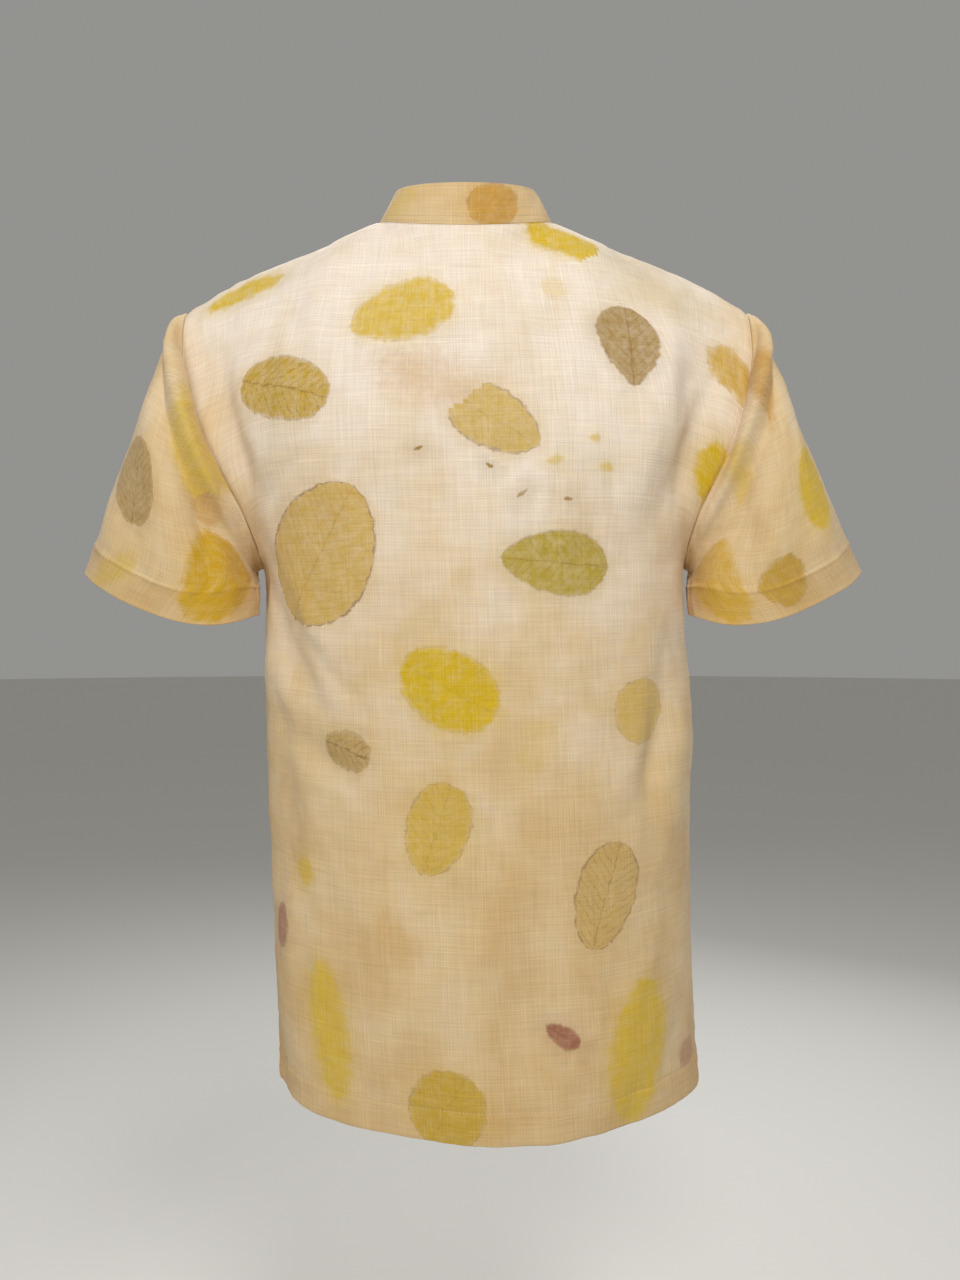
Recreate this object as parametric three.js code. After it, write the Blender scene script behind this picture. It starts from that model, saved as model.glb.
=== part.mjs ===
// A men's short-sleeved kurta in linen, hollow and open as it is worn. Millimetres, +Z up. The wearer faces -Y,
// and the wearer's left arm is at +X. The origin is the middle of the neck opening, level with the two points
// where the shoulder seams meet the collar.
//
// Each cloth piece is a surface of rows and columns, from the tables below, that a wall is built on. The panels'
// rows run from the hem up to the shoulder seam and neckline; the sleeves' rings run from the armhole to the hem.

import * as THREE from 'three';

const point = (x, y, z) => new THREE.Vector3(x, y, z);
const radians = THREE.MathUtils.degToRad;
const smoothstep = THREE.MathUtils.smoothstep;

// ---------------------------------------------------------------- cloth

const CLOTH = 1.3;            // a linen wall, as stiff and thick as one layer hangs
const TURNED_UP = 2.1;        // the same where the hem is turned up and sewn
const BAND = 1.8;             // the collar band, two layers
const SEAM_GAP = 0.3;         // between two pieces at a seam
const BODY_HEM = 25;          // depth of the turn-up at the bottom
const HEM_SHIFT = -20;        // the hem hangs this far to the wearer's right of the neck
const SWAY_EASE = 1.3;        // how softly that sway starts below the shoulders
const BODY_LENGTH = 760;      // from the shoulder's high point to the hem

// ---------------------------------------------------------------- neck, shoulder and armhole

const NECK_HALF = 77;                        // half the neck opening's width
const NECK_SIDE = point(NECK_HALF, 4, 0);    // the shoulder's high point
const BACK_NECK = point(0, 64, -24.5);
const FRONT_NECK = point(0, -72, -77);
const NECK_EASE = 1.3;                       // how softly the neckline turns down from its sides
const NECK_SHARE = 0.4;                      // the part of a panel's half width that ends on the neckline
const SHOULDER_BOW = 6;                      // how far the shoulder seam bows up

const ARMHOLE = [
  { at: 'top', x: 243, y: 22, z: -86 },
  { at: 'upper back', x: 241, y: 50, z: -132 },
  { at: 'back', x: 224, y: 60, z: -197 },
  { at: 'lower back', x: 196, y: 38, z: -262 },
  { at: 'under', x: 188, y: -6, z: -303 },
  { at: 'lower front', x: 201, y: -44, z: -268 },
  { at: 'front', x: 219, y: -52, z: -197 },
  { at: 'upper front', x: 238, y: -26, z: -129 },
];

// ---------------------------------------------------------------- body

// One row a level. half is half the width, side the seam, vent how far each panel's edge stands from the seam's
// line below the slit, and square how boxy the section is: 2 is an ellipse.
const BODY = [
  { at: 'hem', half: 185, sideY: -8, sideZ: -757, backY: 108, frontY: -113, midZ: -768, vent: 9, square: 1.78 },
  { at: 'slit', half: 186, sideY: -8, sideZ: -690, backY: 107, frontY: -113, midZ: -697, vent: 0, square: 2.0 },
  { at: 'hip', half: 186, sideY: -8, sideZ: -605, backY: 105, frontY: -115, midZ: -609, vent: 0, square: 2.1 },
  { at: 'waist', half: 189, sideY: -8, sideZ: -467, backY: 104, frontY: -119, midZ: -469, vent: 0, square: 2.15 },
  { at: 'ribs', half: 188, sideY: -8, sideZ: -377, backY: 108, frontY: -126, midZ: -379, vent: 0, square: 2.15 },
  { at: 'chest', half: 188, sideY: -6, sideZ: -303, backY: 111, frontY: -128, midZ: -303, vent: 0, square: 2.15 },
];

// One row a level above the chest, through its middle and two more points on the half width, to the armhole at
// the given angle round it: 0 degrees is the top and 180 the armpit.
const BACK_YOKE = [
  { angle: 112, middle: [0, 109, -195], inner: [90, 103, -191], outer: [165, 84, -199] },
  { angle: 66, middle: [0, 96, -109], inner: [87, 78, -69], outer: [168, 70, -111] },
  { angle: 34, middle: [0, 77, -58], inner: [84, 46, -26], outer: [165, 50, -71] },
];
const FRONT_YOKE = [
  { angle: 112, middle: [0, -124, -203], inner: [90, -114, -197], outer: [162, -84, -201] },
  { angle: 66, middle: [0, -104, -139], inner: [86, -84, -91], outer: [166, -60, -113] },
  { angle: 34, middle: [0, -86, -103], inner: [83, -38, -25], outer: [163, -26, -63] },
];
const SLIT_LEVEL = 1;
const ARMPIT_LEVEL = BODY.length - 1;
const TOP_LEVEL = BODY.length + BACK_YOKE.length;

// ---------------------------------------------------------------- sleeves

// The sleeve's rings after the armhole itself, each through four points of the wearer's left sleeve.
const SLEEVE = [
  { at: 'cap', top: [251, 22, -91], back: [233, 68, -200], under: [195, -1, -309], front: [229, -57, -200] },
  { at: 'upper', top: [259, 20, -112], back: [245, 75, -216], under: [192, 6, -320], front: [240, -58, -214] },
  { at: 'lower', top: [288, 15, -193], back: [255, 76, -269], under: [190, 14, -334], front: [252, -53, -263] },
  { at: 'hem', top: [341, 8, -308], back: [250, 70, -353], under: [191, 18, -348], front: [250, -52, -342] },
];

// ---------------------------------------------------------------- collar, placket and buttons

const COLLAR_TOP = { side: point(63, 4, 26.5), back: point(0, 58, 14), front: point(0, -63, -39) };
const COLLAR_ENDS_GAP = 6;
const COLLAR_CORNER = 16;
const COLLAR_SEAT = 0.7;      // between the band and the neckline

const PLACKET_WIDTH = 30;
const FRONT_CUT = 2;          // the cut in the front panel, behind the placket

const BUTTON = { diameter: 11.5, thickness: 2.4, hole: 1.7, holesApart: 3.2, count: 4, first: 18, spacing: 74 };

// ---------------------------------------------------------------- folds

// Soft troughs and ridges, as seen from behind the wearer: x across and z up, from one end to the other. bow is
// how far the middle bends to the right of that line, rise how far the cloth stands out (in, where it is less
// than 0), width how far it spreads to each side, and skew how much wider it is on its right than on its left.
const BACK_FOLDS = [
  { at: 'left blade', from: [217, -165], to: [177, -260], bow: 0, rise: -5, width: 15, skew: 1 },
  { at: 'left armpit', from: [196, -275], to: [118, -445], bow: 5, rise: -8, width: 13, skew: 1.4 },
  { at: 'left swag', from: [176, -420], to: [92, -484], bow: 9, rise: -5, width: 14, skew: 1 },
  { at: 'right blade', from: [-196, -125], to: [-160, -275], bow: -6, rise: -9, width: 17, skew: 1 },
  { at: 'right blade ridge', from: [-180, -100], to: [-132, -270], bow: 6, rise: 4, width: 16, skew: 1 },
  { at: 'right side', from: [-174, -360], to: [-126, -525], bow: -8, rise: -7, width: 14, skew: 1 },
  { at: 'right side ridge', from: [-176, -380], to: [-172, -490], bow: 0, rise: 4, width: 14, skew: 1 },
  { at: 'left hip', from: [168, -450], to: [154, -600], bow: 3, rise: -4.5, width: 16, skew: 1 },
  { at: 'right hip', from: [-160, -540], to: [-154, -715], bow: 0, rise: -4.5, width: 18, skew: 1 },
];
const FRONT_FOLDS = [
  { at: 'left armpit', from: [194, -285], to: [112, -410], bow: -6, rise: -7, width: 14, skew: 1 },
  { at: 'left chest', from: [176, -150], to: [150, -262], bow: 5, rise: -6, width: 16, skew: 1 },
  { at: 'right armpit', from: [-194, -280], to: [-104, -430], bow: 7, rise: -7.5, width: 14, skew: 1 },
  { at: 'right chest', from: [-180, -140], to: [-146, -255], bow: -5, rise: -6, width: 17, skew: 1 },
  { at: 'left drape', from: [96, -440], to: [112, -700], bow: 6, rise: -6, width: 22, skew: 1 },
  { at: 'right drape', from: [-88, -470], to: [-120, -730], bow: -5, rise: -6, width: 24, skew: 1 },
  { at: 'right waist', from: [-176, -420], to: [-118, -500], bow: 7, rise: -5, width: 15, skew: 1 },
];
const LEFT_SLEEVE_FOLDS = [
  { at: 'ridge', from: [258, -100], to: [192, -292], bow: -14, rise: 8, width: 13, skew: 0.8 },
  { at: 'valley', from: [252, -120], to: [198, -262], bow: -13, rise: -6, width: 9, skew: 1 },
  { at: 'pocket', from: [212, -280], to: [204, -345], bow: 2, rise: -5, width: 10, skew: 1 },
  { at: 'outer', from: [286, -170], to: [300, -330], bow: 4, rise: -3, width: 16, skew: 1 },
];
const RIGHT_SLEEVE_FOLDS = [
  { at: 'ridge', from: [-262, -104], to: [-206, -254], bow: 13, rise: 7.5, width: 13, skew: 1.2 },
  { at: 'valley', from: [-251, -120], to: [-198, -262], bow: 13, rise: -6, width: 9, skew: 1 },
  { at: 'pocket', from: [-214, -285], to: [-203, -345], bow: 2, rise: -5.5, width: 10, skew: 1 },
  { at: 'outer', from: [-280, -190], to: [-292, -325], bow: -4, rise: -3, width: 15, skew: 1 },
];
// The sleeves' front halves, in the same x and z.
const LEFT_SLEEVE_FRONT_FOLDS = [
  { at: 'ridge', from: [256, -108], to: [200, -286], bow: -12, rise: 6, width: 14, skew: 0.8 },
  { at: 'valley', from: [249, -126], to: [206, -256], bow: -11, rise: -4.5, width: 10, skew: 1 },
  { at: 'outer', from: [292, -190], to: [298, -325], bow: 3, rise: -3, width: 15, skew: 1 },
];
const RIGHT_SLEEVE_FRONT_FOLDS = [
  { at: 'ridge', from: [-258, -104], to: [-212, -262], bow: 12, rise: 6, width: 13, skew: 1.2 },
  { at: 'valley', from: [-250, -128], to: [-206, -258], bow: 11, rise: -5, width: 9, skew: 1 },
  { at: 'outer', from: [-286, -200], to: [-298, -320], bow: -4, rise: -3, width: 14, skew: 1 },
];

// How far all the folds together move the cloth out at a place seen from behind.
function foldRise(folds, x, z) {
  let rise = 0;
  for (const fold of folds) {
    const along = new THREE.Vector2(fold.to[0] - fold.from[0], fold.to[1] - fold.from[1]);
    const length = along.length();
    along.divideScalar(length);
    const offset = new THREE.Vector2(x - fold.from[0], z - fold.from[1]);
    const share = offset.dot(along) / length;
    const taper = smoothstep(share, -0.15, 0.3) * (1 - smoothstep(share, 0.65, 1.15));
    const bend = fold.bow * Math.sin(Math.PI * THREE.MathUtils.clamp(share, 0, 1));
    const side = offset.x * -along.y + offset.y * along.x - bend;
    const width = fold.width * (side > 0 ? fold.skew : 1);
    rise += fold.rise * taper * Math.exp(-((side / width) ** 2));
  }
  return rise;
}

// ---------------------------------------------------------------- sections

const curve = (points, closed = false) => new THREE.CatmullRomCurve3(points, closed, 'catmullrom', 0.5);
const armholeCurve = curve(ARMHOLE.map(({ x, y, z }) => point(x, y, z)), true);
const armhole = (angle) => armholeCurve.getPoint(angle / 360);

// A point of the left armhole on one panel's edge, at an angle from the top.
const panelArmhole = (angle, face) => armhole(face === 'back' ? angle : 360 - angle);

// A quarter of a neck ring, from its middle (0 degrees) to its side (90).
function neckPoint(side, middle, angle) {
  const towards = Math.cos(radians(angle));
  const down = Math.max(towards, 0) ** NECK_EASE;
  const x = side.x * Math.sin(radians(angle));
  return point(x, side.y + (middle.y - side.y) * towards, side.z + (middle.z - side.z) * down);
}

// The half rows below the armpit are boxy quarter ellipses; reach runs from 0 at the middle to 1 at the side.
function bodyPoint(level, reach, face) {
  const facing = face === 'back' ? 1 : -1;
  const sine = Math.sin((reach * Math.PI) / 2);
  const cosine = Math.max(Math.cos((reach * Math.PI) / 2), 0);
  const stretch = (sine ** level.square + cosine ** level.square) ** (-1 / level.square);
  const edgeY = level.sideY + facing * level.vent;
  const middleY = face === 'back' ? level.backY : level.frontY;
  const towards = cosine * stretch;
  const y = edgeY + (middleY - edgeY) * towards;
  return point(level.half * sine * stretch, y, level.sideZ + (level.midZ - level.sideZ) * towards);
}

function yokePoint(level, reach, face) {
  const inner = point(...level.inner);
  const mirrored = point(-inner.x, inner.y, inner.z);
  const points = [mirrored, point(...level.middle), inner, point(...level.outer), panelArmhole(level.angle, face)];
  return curve(points).getPoint((1 + 3 * reach) / 4);
}

// The top of a panel: the neckline, and then the shoulder seam.
function topPoint(reach, face) {
  if (reach <= NECK_SHARE) {
    const middle = face === 'back' ? BACK_NECK : FRONT_NECK;
    return neckPoint(NECK_SIDE, middle, (90 * reach) / NECK_SHARE);
  }
  const share = (reach - NECK_SHARE) / (1 - NECK_SHARE);
  const seam = NECK_SIDE.clone().lerp(armhole(0), share);
  seam.z += SHOULDER_BOW * Math.sin(Math.PI * share ** 2);
  return seam;
}

const yokeOf = (face) => (face === 'back' ? BACK_YOKE : FRONT_YOKE);

function levelPoints(reach, face) {
  return [
    ...BODY.map((level) => bodyPoint(level, reach, face)),
    ...yokeOf(face).map((level) => yokePoint(level, reach, face)),
    topPoint(reach, face),
  ];
}

// The angle round the armhole of a level above the armpit.
function armholeAngle(level) {
  const angles = [180, ...BACK_YOKE.map((row) => row.angle), 0];
  const share = (level - ARMPIT_LEVEL) / (TOP_LEVEL - ARMPIT_LEVEL);
  return Math.max(curve(angles.map((angle) => point(angle, 0, 0))).getPoint(share).x, 0);
}

// A panel's point. across runs from -1, the wearer's right side, to 1; level runs from 0, the hem, to the top.
function panelPoint(across, level, face) {
  const reach = Math.abs(across);
  const other = face === 'back' ? 'front' : 'back';
  const keys = levelPoints(reach, face);
  const straight = keys[TOP_LEVEL].clone().multiplyScalar(2).sub(keys[TOP_LEVEL - 1]);
  const over = levelPoints(reach, other)[TOP_LEVEL - 1];
  keys.push(straight.lerp(over, smoothstep(reach, NECK_SHARE * 0.75, NECK_SHARE * 1.1)));
  const made = curve(keys).getPoint(level / (TOP_LEVEL + 1));
  const edge = edgePoint(level, face);
  made.addScaledVector(edge.clone().sub(looseEdge(level, face)), reach ** 4);
  if (reach === 1) made.copy(edge);
  if (across < 0) made.x = -made.x;
  return made;
}

// A panel's edge as its own rows would leave it, before it is sewn to its neighbours.
function looseEdge(level, face) {
  const other = face === 'back' ? 'front' : 'back';
  const keys = [...levelPoints(1, face), levelPoints(1, other)[TOP_LEVEL - 1]];
  return curve(keys).getPoint(level / (TOP_LEVEL + 1));
}

// The same edge in its place: free beside the slit, halfway between the panels at the side seam, and then on
// the armhole.
function edgePoint(level, face) {
  if (level >= ARMPIT_LEVEL) return panelArmhole(armholeAngle(level), face);
  if (level < SLIT_LEVEL) return looseEdge(level, face);
  return looseEdge(level, 'back').lerp(looseEdge(level, 'front'), 0.5);
}

// A ring through four points, a quarter of the way round from each other.
function sleeveRing(level, angle) {
  const [top, back, under, front] = [level.top, level.back, level.under, level.front].map((p) => point(...p));
  const turn = radians(angle);
  const ring = top.clone().add(back).add(under).add(front).multiplyScalar(0.25);
  ring.addScaledVector(top.clone().sub(under), Math.cos(turn) / 2);
  ring.addScaledVector(back.clone().sub(front), Math.sin(turn) / 2);
  return ring.addScaledVector(top.clone().add(under).sub(back).sub(front), Math.cos(2 * turn) / 4);
}

// A sleeve's point. down runs from 0 at the armhole to the number of rings at the hem.
function sleevePoint(angle, down, side) {
  const keys = [armhole(angle), ...SLEEVE.map((level) => sleeveRing(level, angle))];
  const made = curve(keys).getPoint(down / SLEEVE.length);
  made.x *= side;
  return made;
}

// ---------------------------------------------------------------- cloth surfaces

const steps = (from, to, count) => Array.from({ length: count }, (_, i) => from + ((to - from) * i) / count);

// A cloth surface: rows of vertices, each with its place, its outward normal and the shift that opens its seams.
// outward is 1 where the columns' direction turned towards the rows' is outward, and -1 where it is inward.
function clothSheet(points, outward, closed = false) {
  const rows = points.map((row) => row.map((place) => ({ place, normal: point(0, 0, 0), shift: point(0, 0, 0) })));
  const sheet = { rows, outward, closed };
  setNormals(sheet);
  return sheet;
}

function neighbour(sheet, i, j) {
  const { rows, closed } = sheet;
  const row = rows[THREE.MathUtils.clamp(i, 0, rows.length - 1)];
  const count = row.length;
  return row[closed ? (j + count) % count : THREE.MathUtils.clamp(j, 0, count - 1)];
}

const alongRow = (sheet, i, j) => neighbour(sheet, i, j + 1).place.clone().sub(neighbour(sheet, i, j - 1).place);
const alongColumn = (sheet, i, j) => neighbour(sheet, i + 1, j).place.clone().sub(neighbour(sheet, i - 1, j).place);

function setNormals(sheet) {
  sheet.rows.forEach((row, i) => row.forEach((vertex, j) => {
    const across = alongRow(sheet, i, j);
    const up = alongColumn(sheet, i, j);
    vertex.normal.crossVectors(across, up).normalize().multiplyScalar(sheet.outward);
  }));
}

const sway = (z) => HEM_SHIFT * (Math.max(-z, 0) / BODY_LENGTH) ** SWAY_EASE;

// Moves a surface out by its folds and sideways as it hangs, and finds its normals again.
function drape(sheet, foldsAt, fade) {
  sheet.rows.forEach((row, i) => row.forEach((vertex, j) => {
    const rise = foldRise(foldsAt(j), vertex.place.x, vertex.place.z) * fade(i, j);
    vertex.place.addScaledVector(vertex.normal, rise);
  }));
  for (const vertex of sheet.rows.flat()) vertex.place.x += sway(vertex.place.z);
  setNormals(sheet);
}

// Where surfaces meet at a seam they share one normal, so their edges face each other across the gap.
function shareNormals(sheets) {
  const meeting = new Map();
  for (const vertex of sheets.flatMap((sheet) => sheet.rows.flat())) {
    const key = vertex.place.toArray().map((value) => value.toFixed(3)).join();
    meeting.set(key, [...(meeting.get(key) ?? []), vertex]);
  }
  for (const group of meeting.values()) {
    const shared = group.reduce((sum, vertex) => sum.add(vertex.normal), point(0, 0, 0)).normalize();
    for (const vertex of group) {
      vertex.normal.copy(shared);
      vertex.seam = group.length > 1;
    }
  }
}

// Draws each surface back from its seams by half the gap.
function openSeams(sheet) {
  const last = sheet.rows.length - 1;
  const draw = (i, j, tangent, inwards) => {
    const vertex = sheet.rows[i][j];
    if (!vertex.seam) return;
    const away = tangent.cross(vertex.normal).normalize();
    const inner = inwards.place.clone().sub(vertex.place);
    vertex.shift.addScaledVector(away, (Math.sign(away.dot(inner)) * SEAM_GAP) / 2);
  };
  sheet.rows.forEach((row, i) => row.forEach((vertex, j) => {
    if (i === 0) draw(i, j, alongRow(sheet, i, j), sheet.rows[1][j]);
    if (i === last) draw(i, j, alongRow(sheet, i, j), sheet.rows[last - 1][j]);
    if (sheet.closed) return;
    if (j === 0) draw(i, j, alongColumn(sheet, i, j), row[1]);
    if (j === row.length - 1) draw(i, j, alongColumn(sheet, i, j), row[j - 1]);
  }));
}

// A wall on the inside of a surface, as one closed mesh. keep says which cells it has.
function wall(sheet, thicknessAt, keep = () => true) {
  const positions = [];
  const outer = (i, j) => neighbour(sheet, i, j).place.clone().add(neighbour(sheet, i, j).shift);
  const inner = (i, j) => outer(i, j).addScaledVector(neighbour(sheet, i, j).normal, -thicknessAt(i));
  const triangle = (...corners) => corners.forEach((corner) => positions.push(...corner.toArray()));
  const quad = (a, b, c, d) => {
    if (sheet.outward < 0) [a, b, c, d] = [d, c, b, a];
    triangle(a, b, c);
    triangle(a, c, d);
  };
  const lastRow = sheet.rows.length - 1;
  const cells = sheet.closed ? sheet.rows[0].length : sheet.rows[0].length - 1;
  const has = (i, j) => {
    if (i < 0 || i >= lastRow) return false;
    if (sheet.closed) return keep(i, (j + cells) % cells);
    return j >= 0 && j < cells && keep(i, j);
  };
  for (let i = 0; i < lastRow; i += 1) {
    for (let j = 0; j < cells; j += 1) {
      if (!has(i, j)) continue;
      quad(outer(i, j), outer(i, j + 1), outer(i + 1, j + 1), outer(i + 1, j));
      quad(inner(i, j), inner(i + 1, j), inner(i + 1, j + 1), inner(i, j + 1));
      if (!has(i - 1, j)) quad(inner(i, j), inner(i, j + 1), outer(i, j + 1), outer(i, j));
      if (!has(i + 1, j)) quad(outer(i + 1, j), outer(i + 1, j + 1), inner(i + 1, j + 1), inner(i + 1, j));
      if (!has(i, j - 1)) quad(inner(i, j), outer(i, j), outer(i + 1, j), inner(i + 1, j));
      if (!has(i, j + 1)) quad(outer(i, j + 1), inner(i, j + 1), inner(i + 1, j + 1), outer(i + 1, j + 1));
    }
  }
  const geometry = new THREE.BufferGeometry();
  geometry.setAttribute('position', new THREE.Float32BufferAttribute(positions, 3));
  geometry.computeVertexNormals();
  return geometry;
}

// ---------------------------------------------------------------- panels

// The rows of both panels, a stretch between two levels at a time.
const ROWS_IN_STRETCH = [3, 4, 6, 5, 4, 5, 4, 2, 2];
const LEVELS = [...ROWS_IN_STRETCH.flatMap((count, level) => steps(level, level + 1, count)), TOP_LEVEL];
const ARMPIT_ROW = LEVELS.indexOf(ARMPIT_LEVEL);
const PLACKET_FOOT_ROW = LEVELS.indexOf(BODY.findIndex((level) => level.at === 'ribs'));
const NECK_COLUMNS = 5;
const SHOULDER_COLUMNS = 7;

const mirrored = (values) => [...values.map((value) => -value).reverse(), ...values];
const BACK_COLUMNS = [0, ...steps(0, NECK_SHARE, NECK_COLUMNS).slice(1),
  ...steps(NECK_SHARE, 1, SHOULDER_COLUMNS), 1];

// The front's columns: first the cut's edge and the placket's, at their real widths, then shares of the rest.
const frontAcross = (level) => {
  const probe = 0.02;
  const perMillimetre = probe / panelPoint(probe, level, 'front').x;
  const cut = (FRONT_CUT / 2) * perMillimetre;
  const placket = (PLACKET_WIDTH / 2) * perMillimetre;
  const beside = steps(placket, NECK_SHARE, NECK_COLUMNS - 1);
  return mirrored([cut, ...beside, ...steps(NECK_SHARE, 1, SHOULDER_COLUMNS), 1]);
};

function panelSheet(face) {
  const across = (level) => (face === 'back' ? mirrored(BACK_COLUMNS).filter((_, i) => i !== BACK_COLUMNS.length)
    : frontAcross(level));
  const points = LEVELS.map((level) => across(level).map((share) => panelPoint(share, level, face)));
  const sheet = clothSheet(points, face === 'back' ? -1 : 1);
  const fade = (i, j) => {
    const reach = Math.abs(across(LEVELS[i])[j]);
    return smoothstep(1 - reach, 0, 0.1) * smoothstep(TOP_LEVEL - LEVELS[i], 0, 0.8);
  };
  drape(sheet, () => (face === 'back' ? BACK_FOLDS : FRONT_FOLDS), fade);
  return sheet;
}

const bodyThickness = (i) => (sheets.back.rows[i][0].place.z < BODY_HEM - BODY_LENGTH ? TURNED_UP : CLOTH);

// ---------------------------------------------------------------- sleeves

// The last row but one is where the hem's turn-up, 28 mm deep, ends.
const SLEEVE_ROWS = [0, 0.4, 0.75, 1.1, 1.6, 2.1, 2.5, 2.9, 3.3, 3.72, 4];
const SLEEVE_HEM_ROW = SLEEVE_ROWS.length - 2;

function sleeveSheet(side) {
  const down = LEVELS.slice(ARMPIT_ROW).map(armholeAngle);
  const angles = [...down.slice().reverse(), ...down.slice(1, -1).map((angle) => 360 - angle)];
  const points = SLEEVE_ROWS.map((row) => angles.map((angle) => sleevePoint(angle, row, side)));
  const sheet = clothSheet(points, -side, true);
  const behind = angles.map((angle) => Math.sin(radians(angle)));
  const backFolds = side > 0 ? LEFT_SLEEVE_FOLDS : RIGHT_SLEEVE_FOLDS;
  const frontFolds = side > 0 ? LEFT_SLEEVE_FRONT_FOLDS : RIGHT_SLEEVE_FRONT_FOLDS;
  const fade = (i, j) => smoothstep(Math.abs(behind[j]), 0, 0.4) * smoothstep(SLEEVE_ROWS[i], 0, 0.4);
  drape(sheet, (j) => (behind[j] > 0 ? backFolds : frontFolds), fade);
  return sheet;
}

const sleeveThickness = (i) => (i >= SLEEVE_HEM_ROW ? TURNED_UP : CLOTH);

const sheets = {
  back: panelSheet('back'),
  front: panelSheet('front'),
  left: sleeveSheet(1),
  right: sleeveSheet(-1),
};
shareNormals(Object.values(sheets));
Object.values(sheets).forEach(openSeams);

// ---------------------------------------------------------------- collar

const COLLAR_ROWS = [0, 0.35, 0.7, 1];

// The band stands on the neckline. turn runs from 0 at the back to 180 at the front, on either side.
function collarSheet() {
  const backTurns = BACK_COLUMNS.filter((share) => share < NECK_SHARE).map((share) => (90 * share) / NECK_SHARE);
  const frontTurns = frontAcross(TOP_LEVEL).filter((share) => share > 0 && share <= NECK_SHARE).slice(1)
    .map((share) => 180 - (90 * share) / NECK_SHARE).reverse();
  const end = 180 - THREE.MathUtils.radToDeg(Math.asin(COLLAR_ENDS_GAP / 2 / NECK_HALF));
  const turns = [...backTurns, ...frontTurns, ...steps(frontTurns.at(-1), end, 4).slice(1), end];
  const both = [...turns.slice(1).map((turn) => -turn).reverse(), ...turns];
  const points = COLLAR_ROWS.map((height) => both.map((turn) => {
    const quarter = Math.abs(turn) > 90 ? 180 - Math.abs(turn) : Math.abs(turn);
    const front = Math.abs(turn) > 90;
    const foot = neckPoint(NECK_SIDE, front ? FRONT_NECK : BACK_NECK, quarter);
    const top = neckPoint(COLLAR_TOP.side, front ? COLLAR_TOP.front : COLLAR_TOP.back, quarter);
    const up = top.clone().sub(foot);
    const tall = up.length();
    up.divideScalar(tall);
    const fromEnd = Math.min(radians(end - Math.abs(turn)) * NECK_HALF, COLLAR_CORNER);
    const corner = COLLAR_CORNER - Math.sqrt(COLLAR_CORNER ** 2 - (COLLAR_CORNER - fromEnd) ** 2);
    const made = foot.addScaledVector(up, COLLAR_SEAT + (tall - COLLAR_SEAT - corner) * height);
    if (turn < 0) made.x = -made.x;
    made.x += sway(made.z);
    return made;
  }));
  return clothSheet(points, -1);
}

// ---------------------------------------------------------------- placket and buttons

// A strip of a sheet, moved out by a distance.
function strip(sheet, rows, columns, out) {
  const part = sheet.rows.slice(...rows).map((row) => row.slice(...columns).map((vertex) => ({
    place: vertex.place.clone().add(vertex.shift).addScaledVector(vertex.normal, out),
    normal: vertex.normal.clone(),
    shift: point(0, 0, 0),
  })));
  return { rows: part, outward: sheet.outward, closed: false };
}

const PLACKET_CLOTH = 1.5;
const middleColumn = sheets.front.rows[0].length / 2;
const placketColumns = [middleColumn - 2, middleColumn + 2];
const placketTop = strip(sheets.front, [PLACKET_FOOT_ROW], placketColumns, SEAM_GAP + PLACKET_CLOTH);
const placketUnder = strip(sheets.front, [PLACKET_FOOT_ROW, -1], placketColumns, -CLOTH - SEAM_GAP);

function buttonGeometry() {
  const face = new THREE.Shape().absarc(0, 0, BUTTON.diameter / 2, 0, 2 * Math.PI);
  for (const [x, y] of [[1, 1], [1, -1], [-1, 1], [-1, -1]]) {
    const hole = new THREE.Path();
    hole.absarc((x * BUTTON.holesApart) / 2, (y * BUTTON.holesApart) / 2, BUTTON.hole / 2, 0, 2 * Math.PI, true);
    face.holes.push(hole);
  }
  return new THREE.ExtrudeGeometry(face, { depth: BUTTON.thickness, bevelEnabled: false, curveSegments: 7 });
}

// The place and the normal on the placket's middle line, at a distance below its top.
function onPlacket(below) {
  const line = placketTop.rows.map((row) => ({
    place: row[1].place.clone().lerp(row[2].place, 0.5),
    normal: row[1].normal.clone().add(row[2].normal).normalize(),
  })).reverse();
  let left = below;
  let i = 0;
  while (left > line[i].place.distanceTo(line[i + 1].place)) {
    left -= line[i].place.distanceTo(line[i + 1].place);
    i += 1;
  }
  const share = left / line[i].place.distanceTo(line[i + 1].place);
  const slope = line[i].place.clone().sub(line[i + 1].place).normalize();
  return {
    place: line[i].place.clone().lerp(line[i + 1].place, share),
    normal: point(1, 0, 0).cross(slope).normalize(),
  };
}

// ---------------------------------------------------------------- the kurta

const linen = (colour) => new THREE.MeshStandardMaterial({ color: colour, roughness: 0.9, metalness: 0 });
const CREAM_LINEN = linen(0xe0d2b8);
const GOLDEN_LINEN = linen(0xd7be8c);
const BUTTON_RESIN = new THREE.MeshStandardMaterial({ color: 0x8a6a45, roughness: 0.4, metalness: 0 });

const kurta = new THREE.Group();

function add(name, geometry, material) {
  const mesh = new THREE.Mesh(geometry, material);
  mesh.name = name;
  kurta.add(mesh);
  return mesh;
}

const uncut = (i, j) => !(i > PLACKET_FOOT_ROW && j === middleColumn - 1);

add('back_panel', wall(sheets.back, bodyThickness), CREAM_LINEN);
add('front_panel', wall(sheets.front, bodyThickness, uncut), CREAM_LINEN);
add('sleeve_left', wall(sheets.left, sleeveThickness), GOLDEN_LINEN);
add('sleeve_right', wall(sheets.right, sleeveThickness), GOLDEN_LINEN);
add('collar_band', wall(collarSheet(), () => BAND), GOLDEN_LINEN);
add('placket_top', wall(placketTop, () => PLACKET_CLOTH), CREAM_LINEN);
add('placket_under', wall(placketUnder, () => CLOTH), CREAM_LINEN);

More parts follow.
